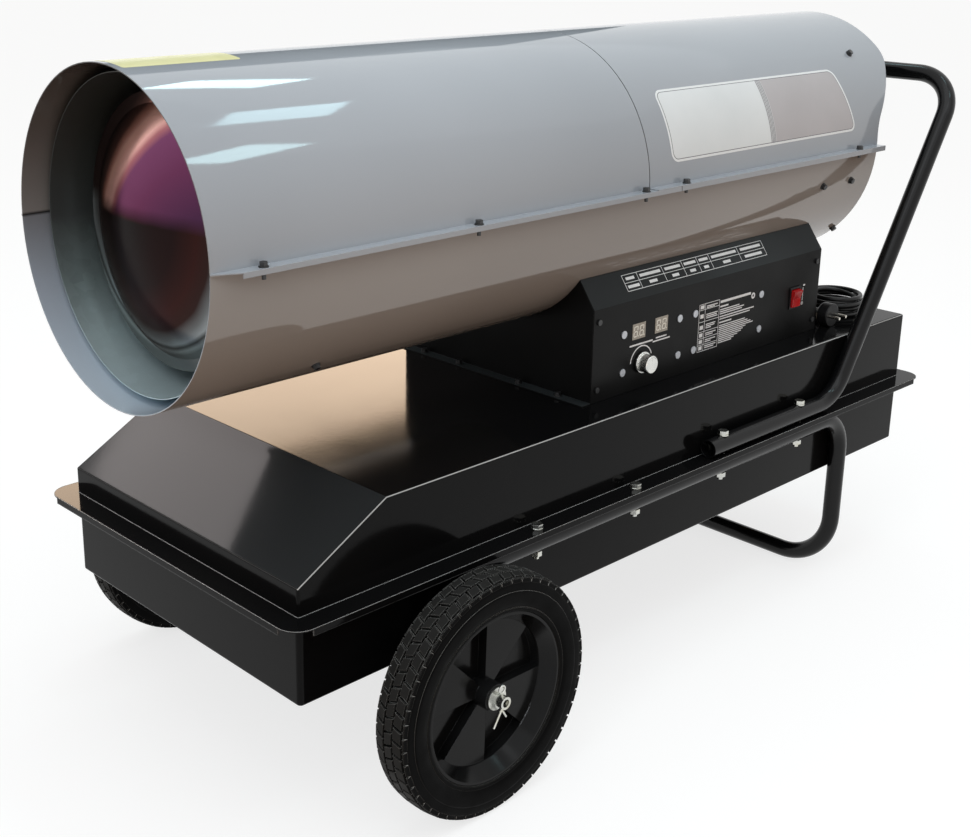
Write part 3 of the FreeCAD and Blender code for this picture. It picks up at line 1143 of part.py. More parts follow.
def make_wheels():
    """Two solid rubber tyres on moulded spoked rims, on one hollow axle."""
    spot = ("wheel_place", "-wheel_side", "axle_height")
    half = "rim_width / 2"
    ring = spin("rim_ring",
                [("-(%s)" % half, "rim_radius - rim_lip"), ("-(%s)" % half, "rim_radius", 1),
                 ("rim_lip - %s" % half, "rim_radius", 1), ("rim_lip * 1.5 - %s" % half, "rim_seat"),
                 ("%s - rim_lip * 1.5" % half, "rim_seat"), ("%s - rim_lip" % half, "rim_radius", 1),
                 (half, "rim_radius", 1), (half, "rim_radius - rim_lip"),
                 ("plate_front", "rim_seat - rim_wall - rim_flare", 6),
                 ("-plate_back", "rim_seat - rim_wall - rim_flare", 6)],
                spot, "-y")
    hub = rod("rim_hub", ("wheel_place", "-wheel_side - hub_out", "axle_height"), "y", "hub_out + hub_in",
              "hub_radius")
    parts = [ring, hub]
    reach = "rim_seat - rim_wall"
    for i in range(8):
        turn_angle = "plate_first + plate_angle * %d" % i
        sector = new_object("Part::Cylinder", "rim_plate")
        bind(sector, Radius=reach, Height="plate_wall", Angle="plate_angle")
        turn = FreeCAD.Rotation(Y_AXIS, -number(turn_angle)).multiply(FreeCAD.Rotation(X_AXIS, 90))
        level = "-wheel_side - plate_front + plate_wall" if i % 2 == 0 else "-wheel_side + plate_back"
        place(sector, "wheel_place", level, "axle_height", turn)
        parts.append(sector)
        web = new_object("Part::Box", "rim_web")
        bind(web, Length=reach, Width="plate_front + plate_back", Height="web_wall")
        place(web, "wheel_place + web_wall / 2 * sin(%s)" % turn_angle, "-wheel_side - plate_front",
              "axle_height - web_wall / 2 * cos(%s)" % turn_angle,
              FreeCAD.Rotation(Y_AXIS, -number(turn_angle)))
        parts.append(web)
    bore = rod("rim_bore", ("wheel_place", "-wheel_side - hub_out - 1", "axle_height"), "y",
               "hub_out + hub_in + 2",
               "axle_radius + axle_gap")
    rim = keep("left_rim", cut("left_rim", fuse("rim_blank", *parts), bore))
    keep("right_rim", mirror("right_rim", rim))

    bead = "%s - rim_lip * 1.5" % half
    seat = "rim_seat"
    lip = "rim_radius"
    side = "tyre_width / 2"
    crown = "wheel_diameter / 2"
    tyre = spin("left_tyre",
                [("-(%s)" % bead, seat), ("-(%s) - rim_lip / 2" % bead, lip),
                 ("-(%s) + tyre_crown / 2" % side, lip, 2),
                 ("-(%s)" % side, "rim_radius + tyre_shoulder", 12),
                 ("-(%s)" % side, crown + " - tyre_crown", "tyre_shoulder"),
                 ("-tread_flat", crown, 20), ("tread_flat", crown, 20),
                 (side, crown + " - tyre_crown", "tyre_shoulder"),
                 (side, "rim_radius + tyre_shoulder", 12), ("(%s) - tyre_crown / 2" % side, lip, 2),
                 ("(%s) + rim_lip / 2" % bead, lip), (bead, seat)], spot, "-y")
    keep("left_tyre", tyre)
    keep("right_tyre", mirror("right_tyre", tyre))

    pipe = cut("axle_pipe", rod("axle_outer", ("wheel_place", "-axle_half", "axle_height"), "y",
                                "axle_half * 2", "axle_radius"),
               rod("axle_bore", ("wheel_place", "-axle_half - 1", "axle_height"), "y", "axle_half * 2 + 2",
                   "axle_radius - axle_wall"))
    pin_line = "axle_half - pin_back"
    pin_holes = [rod("pin_hole",
                     ("wheel_place", "(%s) * %d" % (pin_line, hand), "axle_height - axle_diameter"), "z",
                     "axle_diameter * 2", "pin_radius") for hand in SIDES.values()]
    keep("axle", cut("axle", pipe, *pin_holes))

    washer = cut("axle_washer",
                 rod("axle_washer_disc", (0, 0, 0), "y", "axle_washer", "axle_washer_radius"),
                 rod("axle_washer_eye", (0, -1, 0), "y", "axle_washer + 2", "axle_radius"))
    outer_face = "-(wheel_side + hub_out + end_play + axle_washer)"
    inner_face = "-(wheel_side - hub_in - end_play)"
    spots = [("wheel_place", face, "axle_height", None) for face in (outer_face, inner_face)]
    washers = copies("axle_washers_left", washer, spots)
    keep("axle_washers", group("axle_washers", [washers, mirror("axle_washers_right", washers)]))
    sleeve_end = "wheel_side - hub_in - end_play - axle_washer"
    sleeve = cut("axle_sleeve",
                 rod("sleeve_outer", ("wheel_place", "-(%s)" % sleeve_end, "axle_height"), "y",
                                    "%s - rail_side - rail_radius" % sleeve_end, "spacer_radius"),
                 rod("sleeve_bore", ("wheel_place", "-(%s) - 1" % sleeve_end, "axle_height"), "y",
                     "wheel_side * 2",
                     "axle_radius"))
    keep("axle_sleeves", group("axle_sleeves", [sleeve, mirror("axle_sleeve_right", sleeve)]))

    line = "-(%s)" % pin_line
    eye = new_object("Part::Torus", "pin_eye")
    bind(eye, Radius1="pin_eye", Radius2="pin_radius * 0.8")
    place(eye, "wheel_place", line, "axle_height + pin_stand + pin_eye", turn=ROD_TURNS["y"])
    stem = rod("pin_stem", ("wheel_place", line, "axle_height - pin_stand"), "z", "pin_stand * 2",
               "pin_radius")
    legs = []
    for hand, share in ((-1, 1.0), (1, 0.6)):
        turn = FreeCAD.Rotation(Y_AXIS, 180 + hand * number("-pin_spread"))
        legs.append(rod("pin_leg", ("wheel_place", line, "axle_height - pin_stand"), turn,
                        "pin_leg * %s" % share,
                        "pin_radius * 0.8"))
    bend = new_object("Part::Sphere", "pin_bend")
    bind(bend, Radius="pin_radius")
    place(bend, "wheel_place", line, "axle_height - pin_stand")
    pin = fuse("split_pin", eye, stem, bend, *legs)
    keep("split_pins", group("split_pins", [pin, mirror("split_pin_right", pin)]))


def make_frame():
    """The bent tube frame under the tank's flange, the push handle on top of it and their bolts."""
    def both_sides(points):
        left = [vector(x, "-rail_side", z) for x, z in points]
        right = [vector(x, "rail_side", z) for x, z in reversed(points)]
        return left + right

    bolts = [(i, "tank_front + bolt_first + bolt_pitch * %d" % i, "rail_side * %d" % side)
             for side in SIDES.values() for i in range(4)]
    drill = rod("rail_drill", (0, 0, 0), "z", "rail_diameter + 4", "bolt_radius + bolt_slack")
    rail_holes = copies("rail_holes", drill,
                        [(x, y, "rail_height - rail_radius - 2", None) for i, x, y in bolts])
    handle_holes = copies("handle_holes", drill, [(x, y, "handle_low - rail_radius - 2", None)
                                                  for i, x, y in bolts if i > 1])
    axle_holes = [rod("axle_hole",
                      ("wheel_place", "rail_side * %d - rail_radius * 1.5" % side, "axle_height"), "y",
                      "rail_radius * 3", "axle_radius") for side in SIDES.values()]
    rail = both_sides([("wheel_place", "axle_height - rail_drop"), ("wheel_place", "rail_height"),
                       ("leg_place", "rail_height"), ("leg_place", "rail_radius")])
    rail_bend = number("rail_bend")
    foot_bend = number("foot_bend")
    tube = bent_tube("frame_pipe", rail, [rail_bend, rail_bend, foot_bend, foot_bend, rail_bend, rail_bend],
                     number("rail_radius"), number("rail_wall"))
    keep("frame_tube", cut("frame_tube", tube, rail_holes, *axle_holes))

    bar = both_sides([("tank_front + handle_start", "handle_low"), ("handle_corner", "handle_low"),
                      ("handle_bar", "handle_height")])
    low_bend = number("handle_low_bend")
    top_bend = number("handle_top_bend")
    grip = bent_tube("handle_pipe", bar, [low_bend, top_bend, top_bend, low_bend], number("rail_radius"),
                     number("rail_wall"))
    keep("push_handle", cut("push_handle", grip, handle_holes))

    under = "rail_height - rail_radius"
    seats = {"flange_bolts": "flange_height + tank_wall + washer",
             "handle_bolts": "handle_low + rail_radius + washer"}
    sets = []
    for name, seat in seats.items():
        length = "(%s) - (%s) + nut_height + bolt_tail" % (seat, under)
        bolt = fuse(name + "_one", hexagon("bolt_head", (0, 0, 0), "z", "bolt_head", "bolt_hex"),
                    rod("bolt_shank", (0, 0, 0), "-z", length, "bolt_radius"))
        sets.append(copies(name, bolt, [(x, y, seat, None) for i, x,
                                        y in bolts if (i > 1) == (name == "handle_bolts")]))
    keep("frame_bolts", group("frame_bolts", sets))
    nut = cut("frame_nut", hexagon("nut_body", (0, 0, 0), "-z", "nut_height", "bolt_hex"),
              rod("nut_bore", (0, 0, 1), "-z", "nut_height + 2", "bolt_radius"))
    keep("frame_nuts", copies("frame_nuts", nut, [(x, y, under, None) for i, x, y in bolts]))
    ring = cut("bolt_washer", rod("washer_disc", (0, 0, 0), "z", "washer", "washer_radius"),
               rod("washer_eye", (0, 0, -1), "z", "washer + 2", "bolt_radius + bolt_slack"))
    keep("bolt_washers", copies("bolt_washers", ring,
         [(x, y, "handle_low + rail_radius" if i > 1 else "flange_height + tank_wall", None) for i, x,
          y in bolts]))


def biarc(start, start_way, end, end_way):
    """Two arcs that leave one point and reach another in the given directions."""
    span = end - start
    total = start_way + end_way
    spread = 2 * (1 - start_way.dot(end_way))
    along = span.dot(total)
    reach = (-along + math.sqrt(along ** 2 + spread * span.dot(span))) / spread
    joint = (start + start_way * reach + end - end_way * reach) * 0.5
    return [tangent_arc(start, start_way, joint), tangent_arc(end, end_way.negative(), joint, True)]


def tangent_arc(start, way, end, backwards=False):
    """The arc that leaves a point along a direction and passes through another point."""
    chord = end - start
    lean = way.getAngle(chord)
    ahead = FreeCAD.Vector(chord).normalize()
    outward = (way - ahead * way.dot(ahead)).normalize()
    middle = start + chord * 0.5 + outward * (chord.Length / 2 * math.tan(lean / 2))
    ends = (end, middle, start) if backwards else (start, middle, end)
    return Part.Arc(*ends).toShape()


def coil_nodes():
    """Points and directions at each quarter turn of the cord's piled loops.

    The loops spiral in and out at a steady rate and climb a layer in the half turn where they reverse.
    """
    pitch = number("cord_pitch")
    turns = number("cord_turns")
    layers = int(number("cord_layers"))
    centre = vector("box_rear + coil_back", "-coil_side", "cord_bed")
    quarters = int(turns * 4)
    nodes = []
    for step in range(quarters * layers):
        layer = step // quarters
        inside = step % quarters
        down = layer % 2 == 0
        fall = inside / 4 if down else turns - inside / 4
        radius = number("coil_radius") - pitch * fall
        reverses = inside == 0 and step > 0
        slope = 0 if reverses else (-pitch if down else pitch) / (2 * math.pi)
        height = pitch * (layer - (0.5 if reverses else 0))
        climb = 1.5 * pitch / math.pi if reverses else 0
        turn = math.pi + step * math.pi / 2
        outward = FreeCAD.Vector(math.cos(turn), math.sin(turn), 0)
        along = FreeCAD.Vector(-math.sin(turn), math.cos(turn), 0)
        way = (along * radius + outward * slope + Z_AXIS * climb).normalize()
        nodes.append((centre + outward * radius + Z_AXIS * height, way))
    return nodes


def make_cord():
    """The mains cord: out of its gland, piled in a coil on the tank and on to the plug."""
    radius = number("cord_radius")
    diameter = number("cord_diameter")
    keep("cord_gland", spin("cord_gland",
         [("-box_wall * 3", 0), ("-box_wall * 3", "gland_thread"), (0, "gland_thread"), (0, "gland_radius"),
          ("gland_collar", "gland_radius", 1.5), ("gland_collar", "gland_radius * 0.75"),
          ("gland_length", "gland_tip"), ("gland_length", 0)], ("box_rear", "-gland_side", "gland_level"),
                            "x"))

    nodes = coil_nodes()
    first, first_way = nodes[0]
    last, last_way = nodes[-1]
    edges = [Part.LineSegment(first - first_way * diameter, first).toShape()]
    for (start, start_way), (end, end_way) in zip(nodes, nodes[1:]):
        edges += biarc(start, start_way, end, end_way)
    edges.append(Part.LineSegment(last, last + last_way * diameter).toShape())
    wire = Part.Wire(edges)
    coil = swept(wire, first - first_way * diameter, first_way, radius)
    report_coil(wire, coil, diameter)
    keep("cord_coil", feature_of("cord_coil", coil))

    # The route's own points, from the control box's rear wall at the tank's top.
    corner = vector("box_rear", 0, "tank_top")
    gland_end = vector("box_rear + gland_length", "-gland_side", "gland_level")
    plug_end = vector("box_rear + plug_back", "-plug_side", "plug_level")
    lead = [gland_end] + [corner + FreeCAD.Vector(*point) for point in
            ((49, -65, 21), (68, -74, 17), (77.5, -92, 11))]
    lead += [first - first_way * diameter * 3, first - first_way * diameter]
    tail = [last + last_way * diameter] + [corner + FreeCAD.Vector(*point) for point in
            ((72.4, -99, 28.5), (53.25, -107, 27), (38.75, -121.5, 22.5))]
    tail += [plug_end + Y_AXIS * 18.5, plug_end]
    for name, points in (("power_cord", lead), ("plug_lead", tail)):
        radii = route_radii(points)
        print(name, "radii", " ".join("%.1f" % value for value in radii))
        keep(name, bent_tube(name, points, radii, radius))

    keep("plug_body", spin("plug_body",
         [(0, 0), (0, "plug_neck"), ("plug_length * 0.3", "plug_neck", 8),
          ("plug_length * 0.55", "plug_radius", 6),
          ("plug_length", "plug_radius", 1.5), ("plug_length", 0)],
         ("box_rear + plug_back", "-plug_side", "plug_level"), "-y"))
    prongs = [rod("prong", ("box_rear + plug_back + prong_pitch / 2 * %d" % side,
                            "-plug_side - plug_length", "plug_level"),
                  "-y", "prong_length", "prong_radius") for side in SIDES.values()]
    keep("plug_prongs", group("plug_prongs", prongs))


def route_radii(points):
    """The largest arcs that a cord's runs leave room for."""
    radii = []
    for before, corner, after in zip(points, points[1:], points[2:]):
        turn = (corner - before).getAngle(after - corner)
        run = min((corner - before).Length, (after - corner).Length)
        radii.append(0.45 * run / math.tan(turn / 2))
    return radii


def report_coil(wire, coil, diameter):
    """Print the coil's length, its volume against its section, and its least gap to itself."""
    samples = wire.discretize(Distance=diameter / 3)
    skip = int(3 * math.pi)
    least = min(samples[i].distanceToPoint(samples[j]) for i in range(len(samples))
                for j in range(i + skip, len(samples)))
    expected = math.pi * diameter ** 2 / 4 * wire.Length
    print("cord_coil length %.0f, volume ratio %.4f, least gap to itself %.2f"
          % (wire.Length, coil.Volume / expected, least - diameter))


def check_and_write():
    doc.recompute()
    for thing in doc.Objects:
        if "Invalid" in thing.State or "Error" in thing.State:
            raise ValueError("%s failed: %s" % (thing.Name, thing.State))
    for label, thing in NODES.items():
        if thing.Shape.isNull() or not thing.Shape.isValid() or not thing.Shape.Solids:
            raise ValueError("%s has no valid shape" % label)
    os.makedirs("parts", exist_ok=True)
    for label, thing in NODES.items():
        thing.Shape.exportStep("parts/%s.step" % label)
    print(len(NODES), "nodes written")


fill_sheet()
make_tank()
make_filler()
make_fuel_supply()
make_shells()
make_burner()
make_blower()
make_control_box()
make_controls()
make_wheels()
make_frame()
make_cord()
check_and_write()
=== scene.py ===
import json
import math

import bpy
from mathutils import Matrix, Vector


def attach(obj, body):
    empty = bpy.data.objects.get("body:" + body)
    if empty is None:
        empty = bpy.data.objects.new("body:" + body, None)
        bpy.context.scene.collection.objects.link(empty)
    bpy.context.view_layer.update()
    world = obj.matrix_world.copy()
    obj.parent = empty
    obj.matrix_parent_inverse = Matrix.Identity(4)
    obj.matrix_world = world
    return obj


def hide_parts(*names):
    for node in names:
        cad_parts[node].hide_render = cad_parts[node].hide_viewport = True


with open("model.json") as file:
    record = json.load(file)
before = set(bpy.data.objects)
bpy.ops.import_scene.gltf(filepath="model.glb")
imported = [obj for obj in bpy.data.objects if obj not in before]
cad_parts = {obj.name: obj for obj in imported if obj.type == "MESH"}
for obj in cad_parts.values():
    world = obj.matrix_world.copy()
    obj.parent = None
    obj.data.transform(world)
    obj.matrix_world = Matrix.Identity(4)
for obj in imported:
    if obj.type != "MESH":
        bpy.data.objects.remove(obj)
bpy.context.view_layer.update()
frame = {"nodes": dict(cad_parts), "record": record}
cadNodes = frame["nodes"]
print("frame loaded:", len(cadNodes), "nodes")

mm = 0.001


def linear(colour):
    # sRGB hex to the linear values that shaders take
    parts = [int(colour[i:i + 2], 16) / 255 for i in (1, 3, 5)]
    return tuple(p / 12.92 if p <= 0.04045 else ((p + 0.055) / 1.055) ** 2.4 for p in parts) + (1.0,)


# camera, solved from the photograph: place in metres, turns in degrees, shift as a share of the width
cameraSetup = {
    "place": (-1.48457, -1.34034, 1.03421),
    "yaw": 43.436, "pitch": -17.126, "roll": 0.595,
    "lens": 52.216, "sensor": 36.0,
    "shift": (0.0508, -0.0759),
}


def placeCamera(setup):
    yaw, pitch, roll = (math.radians(setup[k]) for k in ("yaw", "pitch", "roll"))
    ahead = Vector((math.sin(yaw) * math.cos(pitch), math.cos(yaw) * math.cos(pitch), math.sin(pitch)))
    side = ahead.cross(Vector((0, 0, 1))).normalized()
    top = side.cross(ahead)
    right = side * math.cos(roll) + top * math.sin(roll)
    up = top * math.cos(roll) - side * math.sin(roll)
    data = bpy.data.cameras.new("photo_camera")
    data.sensor_width = setup["sensor"]
    data.lens = setup["lens"]
    data.shift_x, data.shift_y = setup["shift"]
    camera = bpy.data.objects.new("photo_camera", data)
    turned = Matrix((right, up, -ahead)).transposed().to_4x4()
    camera.matrix_world = Matrix.Translation(setup["place"]) @ turned
    bpy.context.scene.collection.objects.link(camera)
    bpy.context.scene.camera = camera


placeCamera(cameraSetup)
print("camera placed")


# mains cord: out of its gland, a loose coil on the tank's rear end, then the plug (millimetres)
cordSetup = {
    "lead": [(470.25, -65, 422), (491.25, -65, 422), (510.25, -74, 418), (519.75, -92, 412),
             (517.4, -122.5, 404.75)],
    "tail": [(514.65, -99, 429.5), (495.5, -107, 428), (481, -121.5, 423.5), (473, -140.5, 420),
             (473, -159, 420)],
    "coilCentre": (564, -145, 404.75),
    "coilRadius": 46, "coilPitch": 8.2, "turnsPerLayer": 1.5, "climbTurns": 0.5, "layers": 4,
    "turnsShort": 0.25, "pointsPerTurn": 16,
    "diameter": 7.5, "length": 1680,
}


def coilPoints(setup):
    # loops spiral in and out and climb a layer in the half turn around each reversal
    perTurn = setup["pointsPerTurn"]
    perLayer = setup["turnsPerLayer"]
    bow = math.cos(math.pi / perTurn)  # the spline runs inside its control points by this share
    total = perLayer * setup["layers"] - setup["turnsShort"]
    cx, cy, cz = setup["coilCentre"]
    points = []
    for i in range(int(round(total * perTurn)) + 1):
        turn = i / perTurn
        layer = turn / perLayer
        inward = layer % 2
        inward = inward if inward <= 1 else 2 - inward
        radius = (setup["coilRadius"] - setup["coilPitch"] * perLayer * inward) / bow
        nearest = round(layer)
        level = int(layer)
        if 0 < nearest < setup["layers"]:
            share = min(1, max(0, (turn - nearest * perLayer) / setup["climbTurns"] + 0.5))
            level = nearest - 1 + share * share * (3 - 2 * share)
        angle = math.pi + turn * 2 * math.pi
        points.append((cx + radius * math.cos(angle), cy + radius * math.sin(angle),
                       cz + setup["coilPitch"] * level))
    return points


def mainsCord(setup):
    points = setup["lead"] + coilPoints(setup) + setup["tail"]
    data = bpy.data.curves.new("mains_cord", "CURVE")
    data.dimensions = "3D"
    line = data.splines.new("NURBS")
    line.points.add(len(points) - 1)
    for spot, point in zip(line.points, points):
        spot.co = (point[0] * mm, point[1] * mm, point[2] * mm, 1)
    line.order_u = 3
    line.use_endpoint_u = True
    line.resolution_u = 6
    data.bevel_depth = setup["diameter"] / 2 * mm
    data.bevel_resolution = 4
    data.use_fill_caps = True
    cord = bpy.data.objects.new("mains_cord", data)
    bpy.context.scene.collection.objects.link(cord)
    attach(cord, "heater")
    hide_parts("power_cord", "cord_coil", "plug_lead")
    return cord


cord = mainsCord(cordSetup)
print("cord laid")


def addNode(tree, kind, inputs=None, stops=None, **settings):
    # a node with its settings, its input values or links, and a ramp's stops
    node = tree.nodes.new(kind)
    for name, value in settings.items():
        setattr(node, name, value)
    for name, value in (inputs or {}).items():
        if isinstance(value, bpy.types.NodeSocket):
            tree.links.new(value, node.inputs[name])
        else:
            node.inputs[name].default_value = value
    if stops:
        ramp = node.color_ramp
        while len(ramp.elements) < len(stops):
            ramp.elements.new(0.5)
        for element, (position, colour) in zip(ramp.elements, stops):
            element.position = position
            element.color = linear(colour)
    return node


def newFinish(name, values):
    # a material with its shader and object coordinates, which are the part's own frame in metres
    finish = bpy.data.materials.new(name)
    finish.use_nodes = True
    tree = finish.node_tree
    tree.nodes.clear()
    shader = addNode(tree, "ShaderNodeBsdfPrincipled", values)
    addNode(tree, "ShaderNodeOutputMaterial", {"Surface": shader.outputs["BSDF"]})
    place = addNode(tree, "ShaderNodeTexCoord").outputs["Object"]
    return finish, tree, shader, place


def grain(tree, place, sizeMm, detail=3.0):
    # noise whose lumps are about this many millimetres across
    inputs = {"Vector": place, "Scale": 500 / sizeMm, "Detail": detail}
    return addNode(tree, "ShaderNodeTexNoise", inputs).outputs["Fac"]


def bentAndUp(tree, likeness, flatAt, bentAt, normal, lowRise, highRise):
    # 1 where a normal is unlike the flat faces and looks up enough: where a painted highlight goes
    bent = addNode(tree, "ShaderNodeMapRange", {"Value": likeness, "From Min": flatAt, "From Max": bentAt})
    rise = addNode(tree, "ShaderNodeSeparateXYZ", {"Vector": normal}).outputs["Z"]
    upper = addNode(tree, "ShaderNodeMapRange", {"Value": rise, "From Min": lowRise, "From Max": highRise})
    return addNode(tree, "ShaderNodeMath", {0: bent.outputs["Result"], 1: upper.outputs["Result"]},
                   operation="MULTIPLY").outputs["Value"]


def edgeShare(tree, sizeMm):
    # 1 along a corner that does not look down, 0 on the flat faces beside it; it masks a painted highlight
    soft = addNode(tree, "ShaderNodeBevel", {"Radius": sizeMm * mm}, samples=8).outputs["Normal"]
    face = addNode(tree, "ShaderNodeNewGeometry").outputs["Normal"]
    same = addNode(tree, "ShaderNodeVectorMath", {0: soft, 1: face}, operation="DOT_PRODUCT")
    return bentAndUp(tree, same.outputs["Value"], 0.98, 0.80, soft, -0.3, 0.4)


def foldShare(tree, flats):
    # 1 in the middle of a rounded fold that looks up, 0 where the sheet lies along one of its flats; it
    # masks a painted highlight
    face = addNode(tree, "ShaderNodeNewGeometry").outputs["Normal"]
    near = 0.0
    for flat in flats:
        along = addNode(tree, "ShaderNodeVectorMath", {0: face, 1: flat}, operation="DOT_PRODUCT")
        size = addNode(tree, "ShaderNodeMath", {0: along.outputs["Value"]}, operation="ABSOLUTE")
        most = addNode(tree, "ShaderNodeMath", {0: near, 1: size.outputs["Value"]}, operation="MAXIMUM")
        near = most.outputs["Value"]
    return bentAndUp(tree, near, 0.90, 0.76, face, 0.1, 0.3)


def tint(tree, shader, fac, stops, edge=None, flats=()):
    # a colour that drifts between its stops; edge is a tone and a width for a painted highlight on corners
    # and folds that look up
    colour = addNode(tree, "ShaderNodeValToRGB", {"Fac": fac}, stops).outputs["Color"]
    if edge:
        tone, sizeMm = edge
        folds = foldShare(tree, flats) if flats else 0.0
        share = addNode(tree, "ShaderNodeMath", {0: edgeShare(tree, sizeMm), 1: folds}, operation="MAXIMUM")
        # the edge tone is a painted highlight
        colour = addNode(tree, "ShaderNodeMix", {"Factor": share.outputs["Value"], "A": colour,
                                                 "B": linear(tone)}, data_type="RGBA").outputs["Result"]
    tree.links.new(colour, shader.inputs["Base Color"])


# nearly all of the noise lies between these
noiseLow, noiseHigh = 0.3, 0.7


def gloss(tree, shader, fac, low, high):
    span = addNode(tree, "ShaderNodeMapRange", {"Value": fac, "From Min": noiseLow, "From Max": noiseHigh,
                                                "To Min": low, "To Max": high})
    tree.links.new(span.outputs["Result"], shader.inputs["Roughness"])


def relief(tree, shader, height, depthMm, edgeMm=0):
    bump = addNode(tree, "ShaderNodeBump", {"Height": height, "Distance": depthMm * mm, "Strength": 1.0})
    if edgeMm:  # a folded or cut sheet edge is rounded and catches a line of light
        soft = addNode(tree, "ShaderNodeBevel", {"Radius": edgeMm * mm}, samples=6)
        tree.links.new(soft.outputs["Normal"], bump.inputs["Normal"])
    tree.links.new(bump.outputs["Normal"], shader.inputs["Normal"])


def evenSkin(name, values, tones, toneMm, rough, roughMm, bumpMm=0, depthMm=0, edgeMm=0, detail=3.0):
    # one tone and one roughness, each drifting a little over lumps of its own size, and a fine relief
    finish, tree, shader, place = newFinish(name, values)
    tint(tree, shader, grain(tree, place, toneMm), [(noiseLow, tones[0]), (noiseHigh, tones[1])])
    gloss(tree, shader, grain(tree, place, roughMm), *rough)
    if bumpMm:
        relief(tree, shader, grain(tree, place, bumpMm, detail), depthMm, edgeMm)
    return finish


# the tube's axis (y, z) and the radius under which a face is on its inside; tones there by height: painted
# light low, painted shade high, a dark line between the shells
tubeInsideShade = {
    "axis": (0.0, 683.5), "radius": 194.7, "low": 488.5, "high": 878.5,
    "tones": [(0.0, "#CEDCE8"), (0.30, "#AEB8C4"), (0.495, "#8A8E94"), (0.497, "#242424"),
              (0.503, "#242424"), (0.505, "#8E8C8A"), (0.75, "#6E6C6A"), (1.0, "#565452")],
}


def fromAxis(tree, place, axis, across="YZ"):
    # distance from a line, given where it crosses two axes, and the height
    apart = addNode(tree, "ShaderNodeSeparateXYZ", {"Vector": place}).outputs
    flat = addNode(tree, "ShaderNodeCombineXYZ", {k: apart[k] for k in across}).outputs["Vector"]
    spot = dict(zip(across, axis))
    line = [spot.get(k, 0) * mm for k in "XYZ"]
    reach = addNode(tree, "ShaderNodeVectorMath", {0: flat, 1: line}, operation="DISTANCE")
    return reach.outputs["Value"], apart["Z"]


def heightRamp(tree, height, setup):
    rise = addNode(tree, "ShaderNodeMapRange", {"Value": height, "From Min": setup["low"] * mm,
                                                "From Max": setup["high"] * mm})
    ramp = addNode(tree, "ShaderNodeValToRGB", {"Fac": rise.outputs["Result"]}, setup["tones"])
    return ramp.outputs["Color"]


def greyPowderCoat(name, low, high, setup):
    # polyester powder baked on sheet steel: clear gloss, a faint orange peel and a slow drift in tone;
    # inside the tube painted light towards the bottom and painted shade towards the top, with a dark line
    # between the shells
    finish, tree, shader, place = newFinish(name, {"IOR": 1.5})
    outer = addNode(tree, "ShaderNodeValToRGB", {"Fac": grain(tree, place, 260, 2)},
                    [(0.3, low), (0.7, high)]).outputs["Color"]
    reach, height = fromAxis(tree, place, setup["axis"])
    inside = addNode(tree, "ShaderNodeMath", {0: reach, 1: setup["radius"] * mm}, operation="LESS_THAN")
    # inside the tube the height ramp paints light low and shade high
    skin = addNode(tree, "ShaderNodeMix", {"Factor": inside.outputs["Value"], "A": outer,
                                           "B": heightRamp(tree, height, setup)}, data_type="RGBA")
    tree.links.new(skin.outputs["Result"], shader.inputs["Base Color"])
    gloss(tree, shader, grain(tree, place, 40), 0.04, 0.07)
    relief(tree, shader, grain(tree, place, 5, 1), 0.010, 0.8)  # peel of 2 mm drawn at 5 mm to show
    return finish


def blackTankCoat():
    # black powder baked on the tank: satin with a fine grit, painted highlights on folds and edges that
    # look up, a painted sheen on the slope
    finish, tree, shader, place = newFinish("black_tank_coat", {"IOR": 1.5, "Specular IOR Level": 0.08})
    flats = [(1, 0, 0), (0, 1, 0), (0, 0, 1), (-0.487, 0, 0.873)]  # the last is the sloped front
    face = addNode(tree, "ShaderNodeNewGeometry").outputs["Normal"]
    along = addNode(tree, "ShaderNodeVectorMath", {0: face, 1: flats[-1]}, operation="DOT_PRODUCT")
    # painted sheen: the sloped front is drawn lighter
    paintedSheen = addNode(tree, "ShaderNodeMapRange", {"Value": along.outputs["Value"], "From Min": 0.95,
                                                "From Max": 0.99}).outputs["Result"]
    drift = addNode(tree, "ShaderNodeMath", {0: grain(tree, place, 180), 1: 0.4, 2: paintedSheen},
                    operation="MULTIPLY_ADD")
    stops = [(0.1, "#0B0B0C"), (0.3, "#121212"), (0.95, "#232526"), (1.0, "#2B2D2E")]
    # painted highlight: the pale tone on folds and corners that look up
    tint(tree, shader, drift.outputs["Value"], stops, ("#C4C4C2", 1.5), flats)
    gloss(tree, shader, grain(tree, place, 60), 0.08, 0.12)
    relief(tree, shader, grain(tree, place, 2.5, 2), 0.02, 2.2)  # grit of 0.5 mm drawn at 2.5 mm
    return finish


